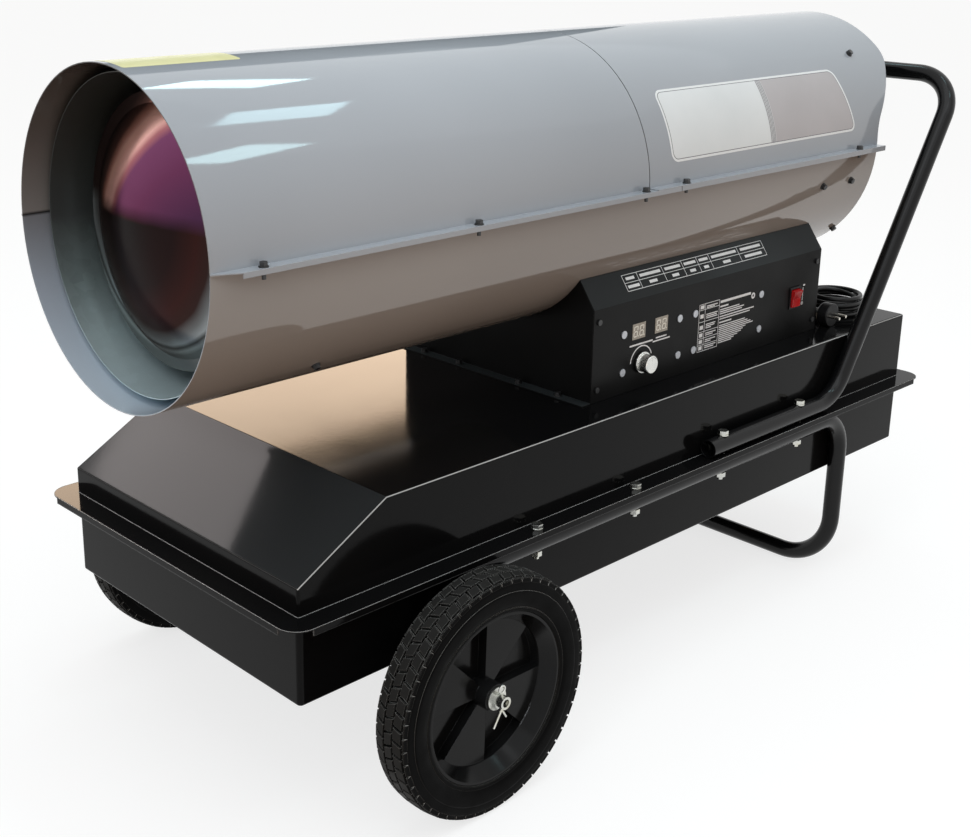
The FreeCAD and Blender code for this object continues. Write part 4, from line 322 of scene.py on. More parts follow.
def blackBoxCoat():
    # the control box's coat is a little flatter, with a fine leather grit, and a lighter painted sheen on
    # faces that look up
    finish, tree, shader, place = newFinish("black_box_coat", {"IOR": 1.5, "Specular IOR Level": 0.1})
    plainCoat = addNode(tree, "ShaderNodeValToRGB", {"Fac": grain(tree, place, 90)},
                    [(0.3, "#0D0D0D"), (0.7, "#131313")])
    # painted sheen: a lighter tone laid on the faces that look up
    paintedSheen = addNode(tree, "ShaderNodeValToRGB", {"Fac": grain(tree, place, 210, 1)},
                   [(0.38, "#232627"), (0.62, "#3F4648")])
    face = addNode(tree, "ShaderNodeNewGeometry").outputs["Normal"]
    upward = addNode(tree, "ShaderNodeSeparateXYZ", {"Vector": face}).outputs["Z"]
    laid = addNode(tree, "ShaderNodeMapRange", {"Value": upward, "From Min": 0.25, "From Max": 0.55})
    skin = addNode(tree, "ShaderNodeMix", {"Factor": laid.outputs["Result"], "A": plainCoat.outputs["Color"],
                                           "B": paintedSheen.outputs["Color"]}, data_type="RGBA")
    tree.links.new(skin.outputs["Result"], shader.inputs["Base Color"])
    gloss(tree, shader, grain(tree, place, 30), 0.30, 0.42)
    relief(tree, shader, grain(tree, place, 2, 2), 0.03, 1.4)
    return finish


def blackTubeCoat():
    # gloss black coat on bent steel tube: long clear reflections, a little rubbed in patches
    return evenSkin("black_tube_coat", {"IOR": 1.5, "Specular IOR Level": 0.24}, ("#0A0A0B", "#111112"),
                    120, (0.12, 0.22), 35, bumpMm=6, depthMm=0.02, edgeMm=0.6, detail=1)


# tones of the zinc-coated sheet by height: painted light below, painted shade above
shieldShadeAndSpangle = {
    "axis": (0.0, 683.5), "low": 500.0, "high": 866.5, "crystal": 12, "ghost": 10,
    "tones": [(0.0, "#D6EAEE"), (0.12, "#C2D6D8"), (0.3, "#8A9A9A"), (0.5, "#555B5B"), (0.8, "#484C4A"),
              (1.0, "#40423F")],
}


def galvanisedSheet(setup):
    # zinc-coated sheet dulled by heat: greenish grey, painted light below and painted shade above, with
    # only a ghost of its 12 mm crystals
    finish, tree, shader, place = newFinish("galvanised_sheet", {"Metallic": 0.45})
    perMetre = 1 / (setup["crystal"] * mm)
    spangle = addNode(tree, "ShaderNodeTexVoronoi", {"Vector": place, "Scale": perMetre}).outputs["Color"]
    crystal = addNode(tree, "ShaderNodeSeparateColor", {"Color": spangle}).outputs["Red"]
    height = fromAxis(tree, place, setup["axis"])[1]
    ghost = addNode(tree, "ShaderNodeMath", {0: crystal, 1: setup["ghost"] * mm, 2: height},
                    operation="MULTIPLY_ADD")
    # painted light low and painted shade high, by height
    tree.links.new(heightRamp(tree, ghost.outputs["Value"], setup), shader.inputs["Base Color"])
    gloss(tree, shader, grain(tree, place, 45), 0.30, 0.42)
    relief(tree, shader, grain(tree, place, 40, 2), 0.10, 0.5)
    return finish


# heat tints of the dome with painted reflections: above its middle line a painted reflection of the light
# above, tones by distance from a point low on its left, since the flame plays to one side, and a pale band,
# partly heat tint and partly a painted highlight; below it a painted reflection of the dark floor, tones by
# distance from its middle, painted glints on its rim
domeTintAndReflection = {
    "line": (698.0, 716.0), "lineDrift": 0.8, "blotch": 9.0,
    "overCentre": (-156.0, 588.0), "overReach": 400,
    "over": [(0.35, "#482845"), (0.50, "#6A3456"), (0.605, "#7C446A"), (0.63, "#B8747A"), (0.65, "#FFC6BC"),
             (0.70, "#FFC4B4"), (0.72, "#C88A7A"), (0.745, "#5C403A"), (0.79, "#342826"), (1.0, "#2C2526")],
    "centre": (14.0, 698.0), "centreReach": 160,
    "under": [(0.0, "#140A0B"), (0.45, "#1A0C0D"), (0.66, "#301614"), (0.78, "#2C1C1A"), (0.86, "#66696A"),
              (0.91, "#8A9092"), (0.94, "#3A3E3E"), (0.97, "#848A8A"), (1.0, "#5E6464")],
}


def heatTintAndPaintedReflection(setup):
    # stainless sheet coloured by heat with painted reflections: purple and straw above, where the flame
    # plays, with a painted highlight in the straw band; dark brown below, a painted reflection of the
    # floor, with painted glints on the rim
    sheen = {"Metallic": 0.75, "Specular Tint": linear("#B4A4A0")}
    finish, tree, shader, place = newFinish("heat_tint_and_painted_reflection_steel", sheen)
    blotch = setup["blotch"] * mm
    wander = addNode(tree, "ShaderNodeMapRange", {"Value": grain(tree, place, 70), "To Min": -blotch,
                                                  "To Max": blotch}).outputs["Result"]

    def rings(middle, reachMm, stops):
        reach, height = fromAxis(tree, place, middle)
        spread = addNode(tree, "ShaderNodeMath", {0: reach, 1: wander}, operation="ADD")
        share = addNode(tree, "ShaderNodeMath", {0: spread.outputs["Value"], 1: reachMm * mm},
                        operation="DIVIDE")
        ramp = addNode(tree, "ShaderNodeValToRGB", {"Fac": share.outputs["Value"]}, stops)
        return ramp.outputs["Color"], height

    over, height = rings(setup["overCentre"], setup["overReach"], setup["over"])
    under = rings(setup["centre"], setup["centreReach"], setup["under"])[0]
    drift = addNode(tree, "ShaderNodeMath", {0: wander, 1: setup["lineDrift"], 2: height},
                    operation="MULTIPLY_ADD")
    low, high = setup["line"]
    rise = addNode(tree, "ShaderNodeMapRange", {"Value": drift.outputs["Value"], "From Min": low * mm,
                                                "From Max": high * mm})
    # painted reflections: bright over the middle line, dark under it
    both = addNode(tree, "ShaderNodeMix", {"Factor": rise.outputs["Result"], "A": under, "B": over},
                   data_type="RGBA")
    tree.links.new(both.outputs["Result"], shader.inputs["Base Color"])
    gloss(tree, shader, grain(tree, place, 25), 0.16, 0.26)
    relief(tree, shader, grain(tree, place, 30, 2), 0.15)
    return finish


def brightZinc():
    # zinc electroplate on fasteners: bright, faintly yellow in patches
    finish, tree, shader, place = newFinish("bright_zinc", {"Metallic": 1.0})
    tint(tree, shader, grain(tree, place, 9), [(0.3, "#BDBEBB"), (0.55, "#CFCFC8"), (0.75, "#C6C0AA")])
    gloss(tree, shader, grain(tree, place, 4), 0.18, 0.34)
    relief(tree, shader, grain(tree, place, 1.5), 0.03, 0.3)
    return finish


def blackOxide():
    # blackened steel screws: dull, oily black
    return evenSkin("black_oxide", {"IOR": 1.6}, ("#0F0F10", "#1D1D1E"), 4, (0.30, 0.48), 3,
                    bumpMm=1.2, depthMm=0.03, edgeMm=0.3)


def satinAluminium():
    # rivet heads of bare aluminium: pale satin grey with fine scuffs
    return evenSkin("satin_aluminium", {"Metallic": 0.75}, ("#B2B5BA", "#C6C8CC"), 3, (0.38, 0.55), 2,
                    bumpMm=1.0, depthMm=0.02, edgeMm=0.4)


def turnedAluminium(centre):
    # the knob is turned and polished: rings from the lathe around its own axis
    finish, tree, shader, place = newFinish("turned_aluminium", {"Metallic": 1.0})
    reach = fromAxis(tree, place, (centre[0], centre[2]), "XZ")[0]
    ringMm = 0.9
    perMetre = 2 * math.pi / (ringMm * mm)
    cut = addNode(tree, "ShaderNodeMath", {0: reach, 1: perMetre}, operation="MULTIPLY")
    ring = addNode(tree, "ShaderNodeMath", {0: cut.outputs["Value"]}, operation="SINE")
    tint(tree, shader, grain(tree, place, 5), [(0.3, "#CFCFCC"), (0.7, "#DDDCD7")])
    gloss(tree, shader, grain(tree, place, 3), 0.16, 0.28)
    relief(tree, shader, ring.outputs["Value"], 0.012, 0.3)  # tool marks of 0.2 mm drawn at 0.9 mm
    return finish


def tyreRubber():
    # moulded solid rubber: matte black on its flanks, a lighter painted sheen on the tread and painted
    # glints on edges that look up
    finish, tree, shader, place = newFinish("tyre_rubber", {"IOR": 1.5, "Specular IOR Level": 0.035})
    face = addNode(tree, "ShaderNodeNewGeometry").outputs["Normal"]
    axial = addNode(tree, "ShaderNodeSeparateXYZ", {"Vector": face}).outputs["Y"]
    flank = addNode(tree, "ShaderNodeMath", {0: axial}, operation="ABSOLUTE").outputs["Value"]
    # painted sheen: the tread is lighter than the flanks; the edge tone is a painted glint
    treadSheen = addNode(tree, "ShaderNodeMath", {0: grain(tree, place, 30), 1: 0.3, 2: flank},
                   operation="MULTIPLY_ADD").outputs["Value"]
    tint(tree, shader, treadSheen, [(0.25, "#2A2A29"), (0.7, "#161615"), (1.0, "#060606")], ("#B2B2AE", 0.9))
    gloss(tree, shader, grain(tree, place, 12), 0.38, 0.55)
    relief(tree, shader, grain(tree, place, 2), 0.04, 0.9)
    return finish


def rimPlastic():
    # injection-moulded polypropylene: shiny black with faint flow marks
    return evenSkin("rim_plastic", {"IOR": 1.49, "Specular IOR Level": 0.13}, ("#0A0A0A", "#101010"), 60,
                    (0.12, 0.20), 25, bumpMm=9, depthMm=0.03, edgeMm=0.8, detail=2)


def mouldedPlastic():
    # spark-textured black nylon: soft sheen over a fine grain
    return evenSkin("moulded_plastic", {"IOR": 1.5, "Specular IOR Level": 0.3}, ("#0E0E0F", "#161617"), 15,
                    (0.34, 0.48), 6, bumpMm=1.2, depthMm=0.05, edgeMm=0.5)


def softVinyl():
    # extruded flexible vinyl and rubber: dark, with long soft highlights
    return evenSkin("soft_vinyl", {"IOR": 1.5, "Specular IOR Level": 0.32}, ("#0E0E0E", "#171717"), 20,
                    (0.28, 0.42), 8, bumpMm=2, depthMm=0.02)


def redPolycarbonate():
    # moulded red rocker: glossy, with a slight drift in its red
    return evenSkin("red_polycarbonate", {"IOR": 1.58}, ("#B3161A", "#C6201F"), 10, (0.12, 0.22), 5,
                    bumpMm=2, depthMm=0.015, edgeMm=0.6)


def displayFace():
    # grey-beige diffuser of an unlit display
    return evenSkin("display_face", {"IOR": 1.5}, ("#9A9488", "#A8A194"), 6, (0.22, 0.32), 4,
                    bumpMm=2, depthMm=0.01)


def displayBar():
    # unlit display bars: milky resin
    return evenSkin("display_bar", {"IOR": 1.5}, ("#E2DFD2", "#EFECE1"), 3, (0.25, 0.4), 2)


def screenInk():
    # screen-printed white ink: matte, a touch uneven
    return evenSkin("screen_ink", {"IOR": 1.5}, ("#E4E6E7", "#F2F3F4"), 4, (0.45, 0.6), 3)


def printedFilm(name, low, high, shine=0.5):
    # printed polyester film under a clear laminate
    return evenSkin(name, {"IOR": 1.5, "Specular IOR Level": shine}, (low, high), 50, (0.16, 0.26), 20,
                    bumpMm=8, depthMm=0.008, detail=1)


def plainMetal(name, low, high, rough):
    # drawn, cast or pressed metal with the marks of its making
    return evenSkin(name, {"Metallic": 1.0}, (low, high), 8, (rough, rough + 0.14), 4,
                    bumpMm=2, depthMm=0.02, edgeMm=0.4)


def plainMoulding(name, low, high, rough):
    # moulded, glazed or painted skin with slight unevenness
    return evenSkin(name, {"IOR": 1.5}, (low, high), 12, (rough, rough + 0.12), 6,
                    bumpMm=3, depthMm=0.03, edgeMm=0.4)


knobSetup = {
    "centre": (0.75, -186, 439.5),  # where the skirt's back is
    # out from the panel, and radius
    "profile": [(0.0, 6.0), (0.0, 15.2), (0.6, 15.5), (3.4, 15.5), (4.0, 15.1), (4.0, 12.4)],
    "flutes": 40, "stepsPerFlute": 6, "fluteDepth": 0.55, "fluteEnd": 0.6,
    "bodyRadius": 12.9, "bodyStart": 4.0, "bodyEnd": 17.9,
    "face": [(18.6, 12.3), (19.0, 11.6), (19.0, 10.6), (18.7, 10.2), (18.7, 0.0)],
    "pointer": (1.4, 5.5, 10.0, 0.35, 0.1),  # width, inner and outer radius, height, depth under the face
}

finishes = {
    "grey_paint": greyPowderCoat("grey_powder_coat", "#A1A6AC", "#ABB0B6", tubeInsideShade),
    "black_paint": blackTankCoat(), "galvanised_steel": galvanisedSheet(shieldShadeAndSpangle),
    "tinted_steel": heatTintAndPaintedReflection(domeTintAndReflection), "zinc_plate": brightZinc(), "black_screw": blackOxide(),
    "rivet_metal": satinAluminium(), "brass": plainMetal("turned_brass", "#A8894E", "#BB9B5C", 0.22),
    "copper_line": plainMetal("drawn_copper", "#A9694A", "#BC7B58", 0.2), "black_rubber": softVinyl(),
    "tyre_rubber": tyreRubber(), "rim_plastic": rimPlastic(), "black_plastic": mouldedPlastic(),
    "strainer_plastic": plainMoulding("strainer_nylon", "#B9B7AC", "#C9C7BC", 0.35),
    "knob_metal": turnedAluminium(knobSetup["centre"]), "red_plastic": redPolycarbonate(),
    "display_plastic": displayFace(),
    "board_laminate": plainMoulding("board_laminate", "#2C6A42", "#357A4C", 0.4),
    "ceramic": plainMoulding("glazed_ceramic", "#DAD7CE", "#E6E3DA", 0.12),
    "machine_paint": plainMoulding("machine_paint", "#55585C", "#62656A", 0.4),
    "fan_metal": plainMetal("pressed_aluminium", "#B4B6B8", "#C4C6C8", 0.32),
    "guard_wire": plainMetal("plated_wire", "#B0B2B4", "#C2C4C6", 0.2),
    "prong_metal": plainMetal("nickel_plate", "#C6C2B8", "#D4D0C6", 0.18),
}
boxCoat = blackBoxCoat()
tubeCoat = blackTubeCoat()
# the lower shell's coat is a shade warmer and darker: painted shade with the warm cast of the light from
# below
shadedLowerCoat = greyPowderCoat("shaded_warm_powder_coat", "#98938E", "#A29D98", tubeInsideShade)
nodeFinish = {"lower_shell": shadedLowerCoat, "control_box": boxCoat, "control_panel": boxCoat,
              "frame_tube": tubeCoat, "push_handle": tubeCoat}


def dressNodes():
    for row in frame["record"]["subparts"]:
        node = cadNodes[row["node"]]
        finish = nodeFinish.get(row["node"], finishes[row["material_slot"]])
        if not node.material_slots:
            node.data.materials.append(finish)
        for held in node.material_slots:
            held.material = finish
    cord.data.materials.append(finishes["black_rubber"])


dressNodes()
print("CAD nodes dressed:", len(finishes), "finishes")


def addPiece(name, points, faces, finish, body, stands=(), smooth=None):
    # a mesh from points in millimetres, riding on a body
    data = bpy.data.meshes.new(name)
    data.from_pydata([(x * mm, y * mm, z * mm) for x, y, z in points], [], faces)
    data.materials.append(finish)
    data.update()
    piece = bpy.data.objects.new(name, data)
    bpy.context.scene.collection.objects.link(piece)
    if smooth is not None:
        data.polygons.foreach_set("use_smooth", [True] * len(data.polygons))
        data.set_sharp_from_angle(angle=math.radians(smooth))
    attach(piece, body)
    if stands:
        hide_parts(*stands)
    return piece


def bridge(faces, here, there, count):
    # quads between two closed rings of points that start at these numbers
    for k in range(count):
        k2 = (k + 1) % count
        faces.append((here + k, here + k2, there + k2, there + k))


def rectangle(left, low, right, high):
    return [(left, low), (right, low), (right, high), (left, high)]


# tyre: profile of one flank as (offset from the wheel's middle plane, radius), mirrored to the other
tyreSetup = {
    "centreX": -428.75, "centreY": 313.5, "axle": 152.5, "steps": 192,
    "flank": [(16.0, 103.05), (18.0, 107.9), (22.6, 108.1), (23.6, 109.0), (24.0, 110.4), (24.0, 112.6),
              (23.3, 113.4), (23.5, 114.2), (24.5, 116.5), (25.1, 121.0), (25.4, 127.0), (25.5, 131.6),
              (25.35, 132.7), (24.9, 133.3), (24.2, 133.6), (24.1, 136.0), (24.0, 140.0), (23.6, 143.6),
              (22.6, 146.2), (21.0, 147.4)],
    "floor": 147.4,
    "blocks": 54, "columns": [(-13.8, 12.2), (0.0, 12.2), (13.8, 12.2)],
    "crown": 152.5, "crownFlat": 7.0, "crownFall": 0.0105,
    "floorHalf": 10, "sunk": 1.0,
    "share": 0.85, "slant": 0.22, "chamfer": 0.8,
    "lugs": 54, "lugStart": 20.9, "lugWidth": 2.6, "lugShare": 0.86, "lugSunk": 3.5, "lugDrop": 0.6,
    "lugChamfer": 0.5,
}


def crownRadius(setup, offset):
    return setup["crown"] - setup["crownFall"] * max(0, abs(offset) - setup["crownFlat"]) ** 2


def tyre(setup, side, name, body, node):
    points, faces = [], []

    def spot(offset, radius, turn):
        return (setup["centreX"] + radius * math.cos(turn), side * setup["centreY"] + offset,
                setup["axle"] + radius * math.sin(turn))

    # carcass: a closed ring of the flank profile, the tread's floor and the other flank
    half = setup["flank"]
    floor = [(setup["floorHalf"] * hand, setup["floor"]) for hand in (-1, 1)]
    loop = [(-o, r) for o, r in half] + floor + list(reversed(half))
    steps = setup["steps"]
    for i in range(steps):
        points += [spot(o, r, 2 * math.pi * i / steps) for o, r in loop]
    width = len(loop)
    for i in range(steps):
        bridge(faces, i * width, (i + 1) % steps * width, width)

    def lump(corners, low, top, chamfer):
        # a tread block from its four corners (offset, turn): walls, a chamfer and a crowned top
        base = len(points)
        mo = sum(c[0] for c in corners) / 4
        mt = sum(c[1] for c in corners) / 4
        rings = []
        for radius, inset in ((low, 0.0), (top - chamfer, 0.0), (top, chamfer)):
            ring = []
            for o, t in corners:
                o2 = o - math.copysign(min(inset, abs(o - mo)), o - mo)
                t2 = t - math.copysign(min(inset / top, abs(t - mt)), t - mt)
                drop = crownRadius(setup, o2) - setup["crown"] if radius > low else 0
                ring.append(spot(o2, radius + drop, t2))
            rings.append(ring)
        for ring in rings:
            points.extend(ring)
        bridge(faces, base, base + 4, 4)
        bridge(faces, base + 4, base + 8, 4)
        faces.append((base + 8, base + 9, base + 10, base + 11))
        faces.append((base + 3, base + 2, base + 1, base))

    pitch = 2 * math.pi / setup["blocks"]
    for c, (middle, breadth) in enumerate(setup["columns"]):
        lean = setup["slant"] * (1 if c % 2 else -1)
        for i in range(setup["blocks"]):
            start = (i + (0.5 if c % 2 else 0.0)) * pitch
            length = pitch * setup["share"]
            a, b = middle - breadth / 2, middle + breadth / 2
            shift = lean * pitch / 2
            end = start + length
            lump([(a, start - shift), (b, start + shift), (b, end + shift), (a, end - shift)],
                 setup["floor"] - setup["sunk"], setup["crown"], setup["chamfer"])
    # shoulder lugs close the tread's edge between the outer blocks
    for edge in (-1, 1):
        a, b = sorted((edge * setup["lugStart"], edge * (setup["lugStart"] + setup["lugWidth"])))
        for i in range(setup["lugs"]):
            start = (i + 0.5) * 2 * math.pi / setup["lugs"]
            end = start + pitch * setup["lugShare"]
            lump([(a, start), (b, start), (b, end), (a, end)], setup["floor"] - setup["lugSunk"],
                 setup["crown"] - setup["lugDrop"], setup["lugChamfer"])
    return addPiece(name, points, faces, finishes["tyre_rubber"], body, (node,), smooth=32)


tyre(tyreSetup, -1, "left_tread_tyre", "left_wheel", "left_tyre")
tyre(tyreSetup, 1, "right_tread_tyre", "right_wheel", "right_tyre")
print("tyres moulded")


def thermostatKnob(setup):
    points, faces = [], []
    cx, cy, cz = setup["centre"]
    perFlute = setup["stepsPerFlute"]
    steps = setup["flutes"] * perFlute
    rows = [[(out, radius)] * steps for out, radius in setup["profile"]]
    first, last = setup["bodyStart"], setup["bodyEnd"]
    for out in (first, first + setup["fluteEnd"], last - setup["fluteEnd"], last):
        depth = setup["fluteDepth"] if first < out < last else 0.0
        dips = [0.5 - 0.5 * math.cos(2 * math.pi * i / perFlute) for i in range(steps)]
        rows.append([(out, setup["bodyRadius"] - depth * dip) for dip in dips])
    rows += [[(out, radius)] * steps for out, radius in setup["face"][:-1]]
    for row in rows:
        for i, (out, radius) in enumerate(row):
            turn = 2 * math.pi * i / steps
            points.append((cx + radius * math.cos(turn), cy - out, cz + radius * math.sin(turn)))
    for r in range(len(rows) - 1):
        bridge(faces, r * steps, (r + 1) * steps, steps)
    rim = (len(rows) - 1) * steps
    front = setup["face"][-1][0]
    points.append((cx, cy - front, cz))
    faces += [(rim + i, rim + (i + 1) % steps, len(points) - 1) for i in range(steps)]
    wide, inner, outer, high, deep = setup["pointer"]
    base = len(points)
    for out in (front - deep, front + high):
        for dx, dz in rectangle(-wide / 2, inner, wide / 2, outer):
            points.append((cx + dx, cy - out, cz + dz))
    faces.append((base + 4, base + 5, base + 6, base + 7))
    bridge(faces, base, base + 4, 4)
    return addPiece("fluted_knob", points, faces, finishes["knob_metal"], "knob",
                    ("thermostat_knob",), smooth=28)


thermostatKnob(knobSetup)
print("knob turned")


def slab(points, faces, corners, along, thick):
    # a thin plate from a flat outline, raised by thick along a direction
    base = len(points)
    n = len(corners)
    for up in (0.0, thick):
        points.extend(tuple(c[i] + along[i] * up for i in range(3)) for c in corners)
    faces.append(tuple(range(base + n, base + 2 * n)))
    faces.append(tuple(reversed(range(base, base + n))))
    bridge(faces, base, base + n, n)


# plain print on the panel's flat front: bars and boxes (left, low, right, high) in millimetres
panelInk = {
    "face": -185.0, "thick": 0.12,
    "dial": {"centre": (0.75, 439.5), "inner": 22.4, "outer": 24.2, "from": 20, "to": 176, "steps": 40},
    "captions": [(-26, 465.3, 24, 467.7), (31, 467, 55, 469), (24.5, 462.6, 63, 464.6)],
    "table": {"low": 426, "high": 497, "columns": (129.5, 143.5, 177.5),
              "rows": (497, 488.5, 470.5, 455.5, 445.5, 435.5, 426), "rule": 0.8},
    "lines": [(180, 491.0, 256, 494.8), (180, 484.4, 200, 486.8), (180, 480.0, 228, 481.6),
              (180, 476.9, 240, 478.5), (180, 473.8, 235, 475.4), (180, 469.4, 266, 471.2),
              (180, 465.8, 256, 467.4), (180, 460.2, 210, 462.4), (180, 455.8, 245, 457.3),
              (180, 452.9, 252, 454.4), (180, 450.0, 260, 451.5), (180, 447.1, 266, 448.6),
              (180, 444.2, 248, 445.7), (180, 441.3, 241, 442.8), (180, 438.4, 237, 439.9),
              (180, 435.5, 228, 437.0), (180, 432.6, 219, 434.1), (180, 429.7, 213, 431.2)],
    "signs": [(132.0, 490.2, 141.0, 495.4), (147, 491.8, 173, 493.4), (147, 489.6, 166, 491.0),
              (132.5, 476.0, 140.5, 482.0), (147, 479.4, 174, 480.9), (147, 476.7, 172, 478.2),
              (147, 474.0, 174, 475.5), (132.5, 459.0, 140.5, 465.0), (147, 464.4, 170, 465.9),
              (147, 461.7, 168, 463.2), (147, 459.0, 160, 460.5), (132.5, 447.6, 140.5, 453.4),
              (147, 451.0, 172, 452.5), (147, 448.2, 165, 449.7), (132.5, 437.8, 140.5, 443.4),
              (147, 441.0, 172, 442.5), (147, 438.2, 161, 439.7), (132.5, 428.2, 140.5, 433.8),
              (147, 431.8, 174, 433.3), (147, 429.0, 169, 430.5)],
    "rings": [(262.5, 488.0, 4.8, 2.0), (398.6, 451.6, 2.6, 1.4)], "ringSteps": 24,
    "switch": {"line": (398.0, 456.0, 399.2, 477.0), "on": (398.2, 479.4, 403.4, 482.0)},
}


def panelPrint(setup):
    points, faces = [], []
    y, thick = setup["face"], setup["thick"]

    def lift(corners):
        slab(points, faces, [(x, y, z) for x, z in corners], (0, -1, 0), thick)

    def box(*sides):
        lift(rectangle(*sides))

    def band(cx, cz, inner, outer, turns):
        for a, b in zip(turns, turns[1:]):
            lift([(cx + r * math.cos(t), cz + r * math.sin(t)) for r, t in rectangle(inner, a, outer, b)])

    for bar in setup["captions"] + setup["lines"] + setup["signs"]:
        box(*bar)
    table = setup["table"]
    half = table["rule"] / 2
    for x in table["columns"]:
        box(x - half, table["low"] - half, x + half, table["high"] + half)
    for z in table["rows"]:
        box(table["columns"][0] - half, z - half, table["columns"][-1] + half, z + half)
    dial = setup["dial"]
    step = (dial["to"] - dial["from"]) / dial["steps"]
    sweep = [math.radians(dial["from"] + step * i) for i in range(dial["steps"] + 1)]
    band(*dial["centre"], dial["inner"], dial["outer"], sweep)
    box(*setup["switch"]["line"])
    box(*setup["switch"]["on"])
    around = [2 * math.pi * i / setup["ringSteps"] for i in range(setup["ringSteps"] + 1)]
    for cx, cz, outer, inner in setup["rings"]:
        band(cx, cz, inner, outer, around)
    return addPiece("panel_print", points, faces, whiteInk, "heater")


whiteInk = screenInk()
panelPrint(panelInk)

# seven bars of each display figure and its dot; the window's front is at y -185.6
displaySetup = {
    "centres": (-7.75, 41.75), "level": 486.0, "face": -185.6, "thick": 0.1,
    "figure": (9.2, 16.0), "gap": 12.6, "shift": 0.6, "lean": 0.09,
    "bar": 1.9, "tipShare": 0.62, "topShare": 0.12, "dot": 1.1, "dotPlace": (1.2, 1.0), "dotSteps": 16,
}


def displayFigures(setup):
    points, faces = [], []
    wide, high = setup["figure"]
    half = setup["bar"] / 2
    tip = setup["bar"] * setup["tipShare"]

    def bar(a, b):
        # along and across, pointed at both ends
        return [(a, 0), (a + half, -half), (b - half, -half), (b, 0), (b - half, half), (a + half, half)]

    outlines = []
    for z in (half - high / 2, 0, high / 2 - half):
        outlines.append([(s, z + w) for s, w in bar(tip - wide / 2, wide / 2 - tip)])
    for x in (half - wide / 2, wide / 2 - half):
        for low in (-high / 2, 0):
            top = low + high / 2 - setup["bar"] * setup["topShare"]
            outlines.append([(x - w, s) for s, w in bar(low + tip, top)])
    dotX, dotZ = wide / 2 + setup["dotPlace"][0], setup["dotPlace"][1] - high / 2
    dot = setup["dot"]
    around = [2 * math.pi * i / setup["dotSteps"] for i in range(setup["dotSteps"])]
    outlines.append([(dotX + dot * math.cos(t), dotZ + dot * math.sin(t)) for t in around])
    y, level = setup["face"], setup["level"]
    for middle in setup["centres"]:
        for hand in (-1, 1):
            cx = middle + hand * setup["gap"] / 2 - setup["shift"]
            for outline in outlines:
                corners = [(cx + x + z * setup["lean"], y, level + z) for x, z in outline]
                slab(points, faces, corners, (0, -1, 0), setup["thick"])
    return addPiece("display_figures", points, faces, displayBar(), "heater")


displayFigures(displaySetup)

# two-row table on the panel's slanted shoulder, between its lower and upper edge (y, z)
shoulderInk = {
    "low": (-177.0, 543.0), "high": (-162.9, 562.3), "lift": 0.02, "thick": 0.12, "rule": 0.8,
    "columns": (-24.75, 6.5, 61, 106, 141, 170, 239.5, 303),
    "words": [(-19, -1), (11, 56), (66, 101), (110, 137), (145, 166), (175, 235), (246, 297)],
    "values": [(-21, 3), (25, 42), (76, 91), (117, 130), (150, 161), (196, 214), (250, 293)],
    "wordRow": (0.66, 0.84), "valueRow": (0.16, 0.34),
}


def shoulderTable(setup):
    points, faces = [], []
    (y0, z0), (y1, z1) = setup["low"], setup["high"]
    length = math.hypot(y1 - y0, z1 - z0)
    up = (0, (y1 - y0) / length, (z1 - z0) / length)
    out = (0, -up[2], up[1])

    def box(*sides):
        corners = [(x, y0 + up[1] * v + out[1] * setup["lift"], z0 + up[2] * v + out[2] * setup["lift"])
                   for x, v in rectangle(*sides)]
        slab(points, faces, corners, out, setup["thick"])

    half = setup["rule"] / 2
    for x in setup["columns"]:
        box(x - half, 0, x + half, length)
    for share in (0.0, 0.5, 1.0):
        box(setup["columns"][0], length * share - half, setup["columns"][-1], length * share + half)
    for row, bars in (("wordRow", "words"), ("valueRow", "values")):
        low, high = setup[row]
        for left, right in setup[bars]:
            box(left, length * low, right, length * high)
    return addPiece("shoulder_print", points, faces, whiteInk, "heater")


shoulderTable(shoulderInk)
print("panel printed")

# blank plate on the rear upper shell: along the tube, and angles above the horizontal on its left side
plateSetup = {
    "axis": 683.5, "radius": 195.0, "left": 35.0, "right": 486.0, "slant": 22.0, "low": 9.0, "high": 39.0,
    "corner": 14.0, "thick": 0.25, "layer": 0.06, "edge": 3.4, "line": 0.9, "field": (267.4, 281.0),
    "stripes": (268.8, 272.0, 275.2, 278.4), "stripeWidth": 1.0,
}


def curvedPlate(name, setup, outline, lift, finish, steps=26, gap=0.02):
    # a film that follows the tube: the outline is a list of (x, arc length up from its low edge)
    points, faces = [], []
    low = math.radians(setup["low"])

    def put(x, arc, out):
        turn = low + arc / setup["radius"]
        radius = setup["radius"] + out
        return (x, -radius * math.cos(turn), setup["axis"] + radius * math.sin(turn))

    bottom, top = min(v for _, v in outline), max(v for _, v in outline)
    rungs = [bottom + (top - bottom) * i / steps for i in range(steps + 1)]
    levels = sorted(set(rungs + [v for _, v in outline]))

    def span(level, close=1e-6):
        cuts = []
        for (x0, v0), (x1, v1) in zip(outline, outline[1:] + outline[:1]):
            if min(v0, v1) - close <= level <= max(v0, v1) + close:
                if abs(v1 - v0) < close:
                    cuts += [x0, x1]
                else:
                    cuts.append(x0 + (x1 - x0) * (level - v0) / (v1 - v0))
        return min(cuts), max(cuts)

    for level in levels:
        left, right = span(level)
        points += [put(x, level, out) for x, out in rectangle(left, gap, right, lift)]
    for i in range(len(levels) - 1):
        bridge(faces, i * 4, i * 4 + 4, 4)
    end = (len(levels) - 1) * 4
    faces += [(3, 2, 1, 0), (end, end + 1, end + 2, end + 3)]
    return addPiece(name, points, faces, finish, "heater", smooth=30)


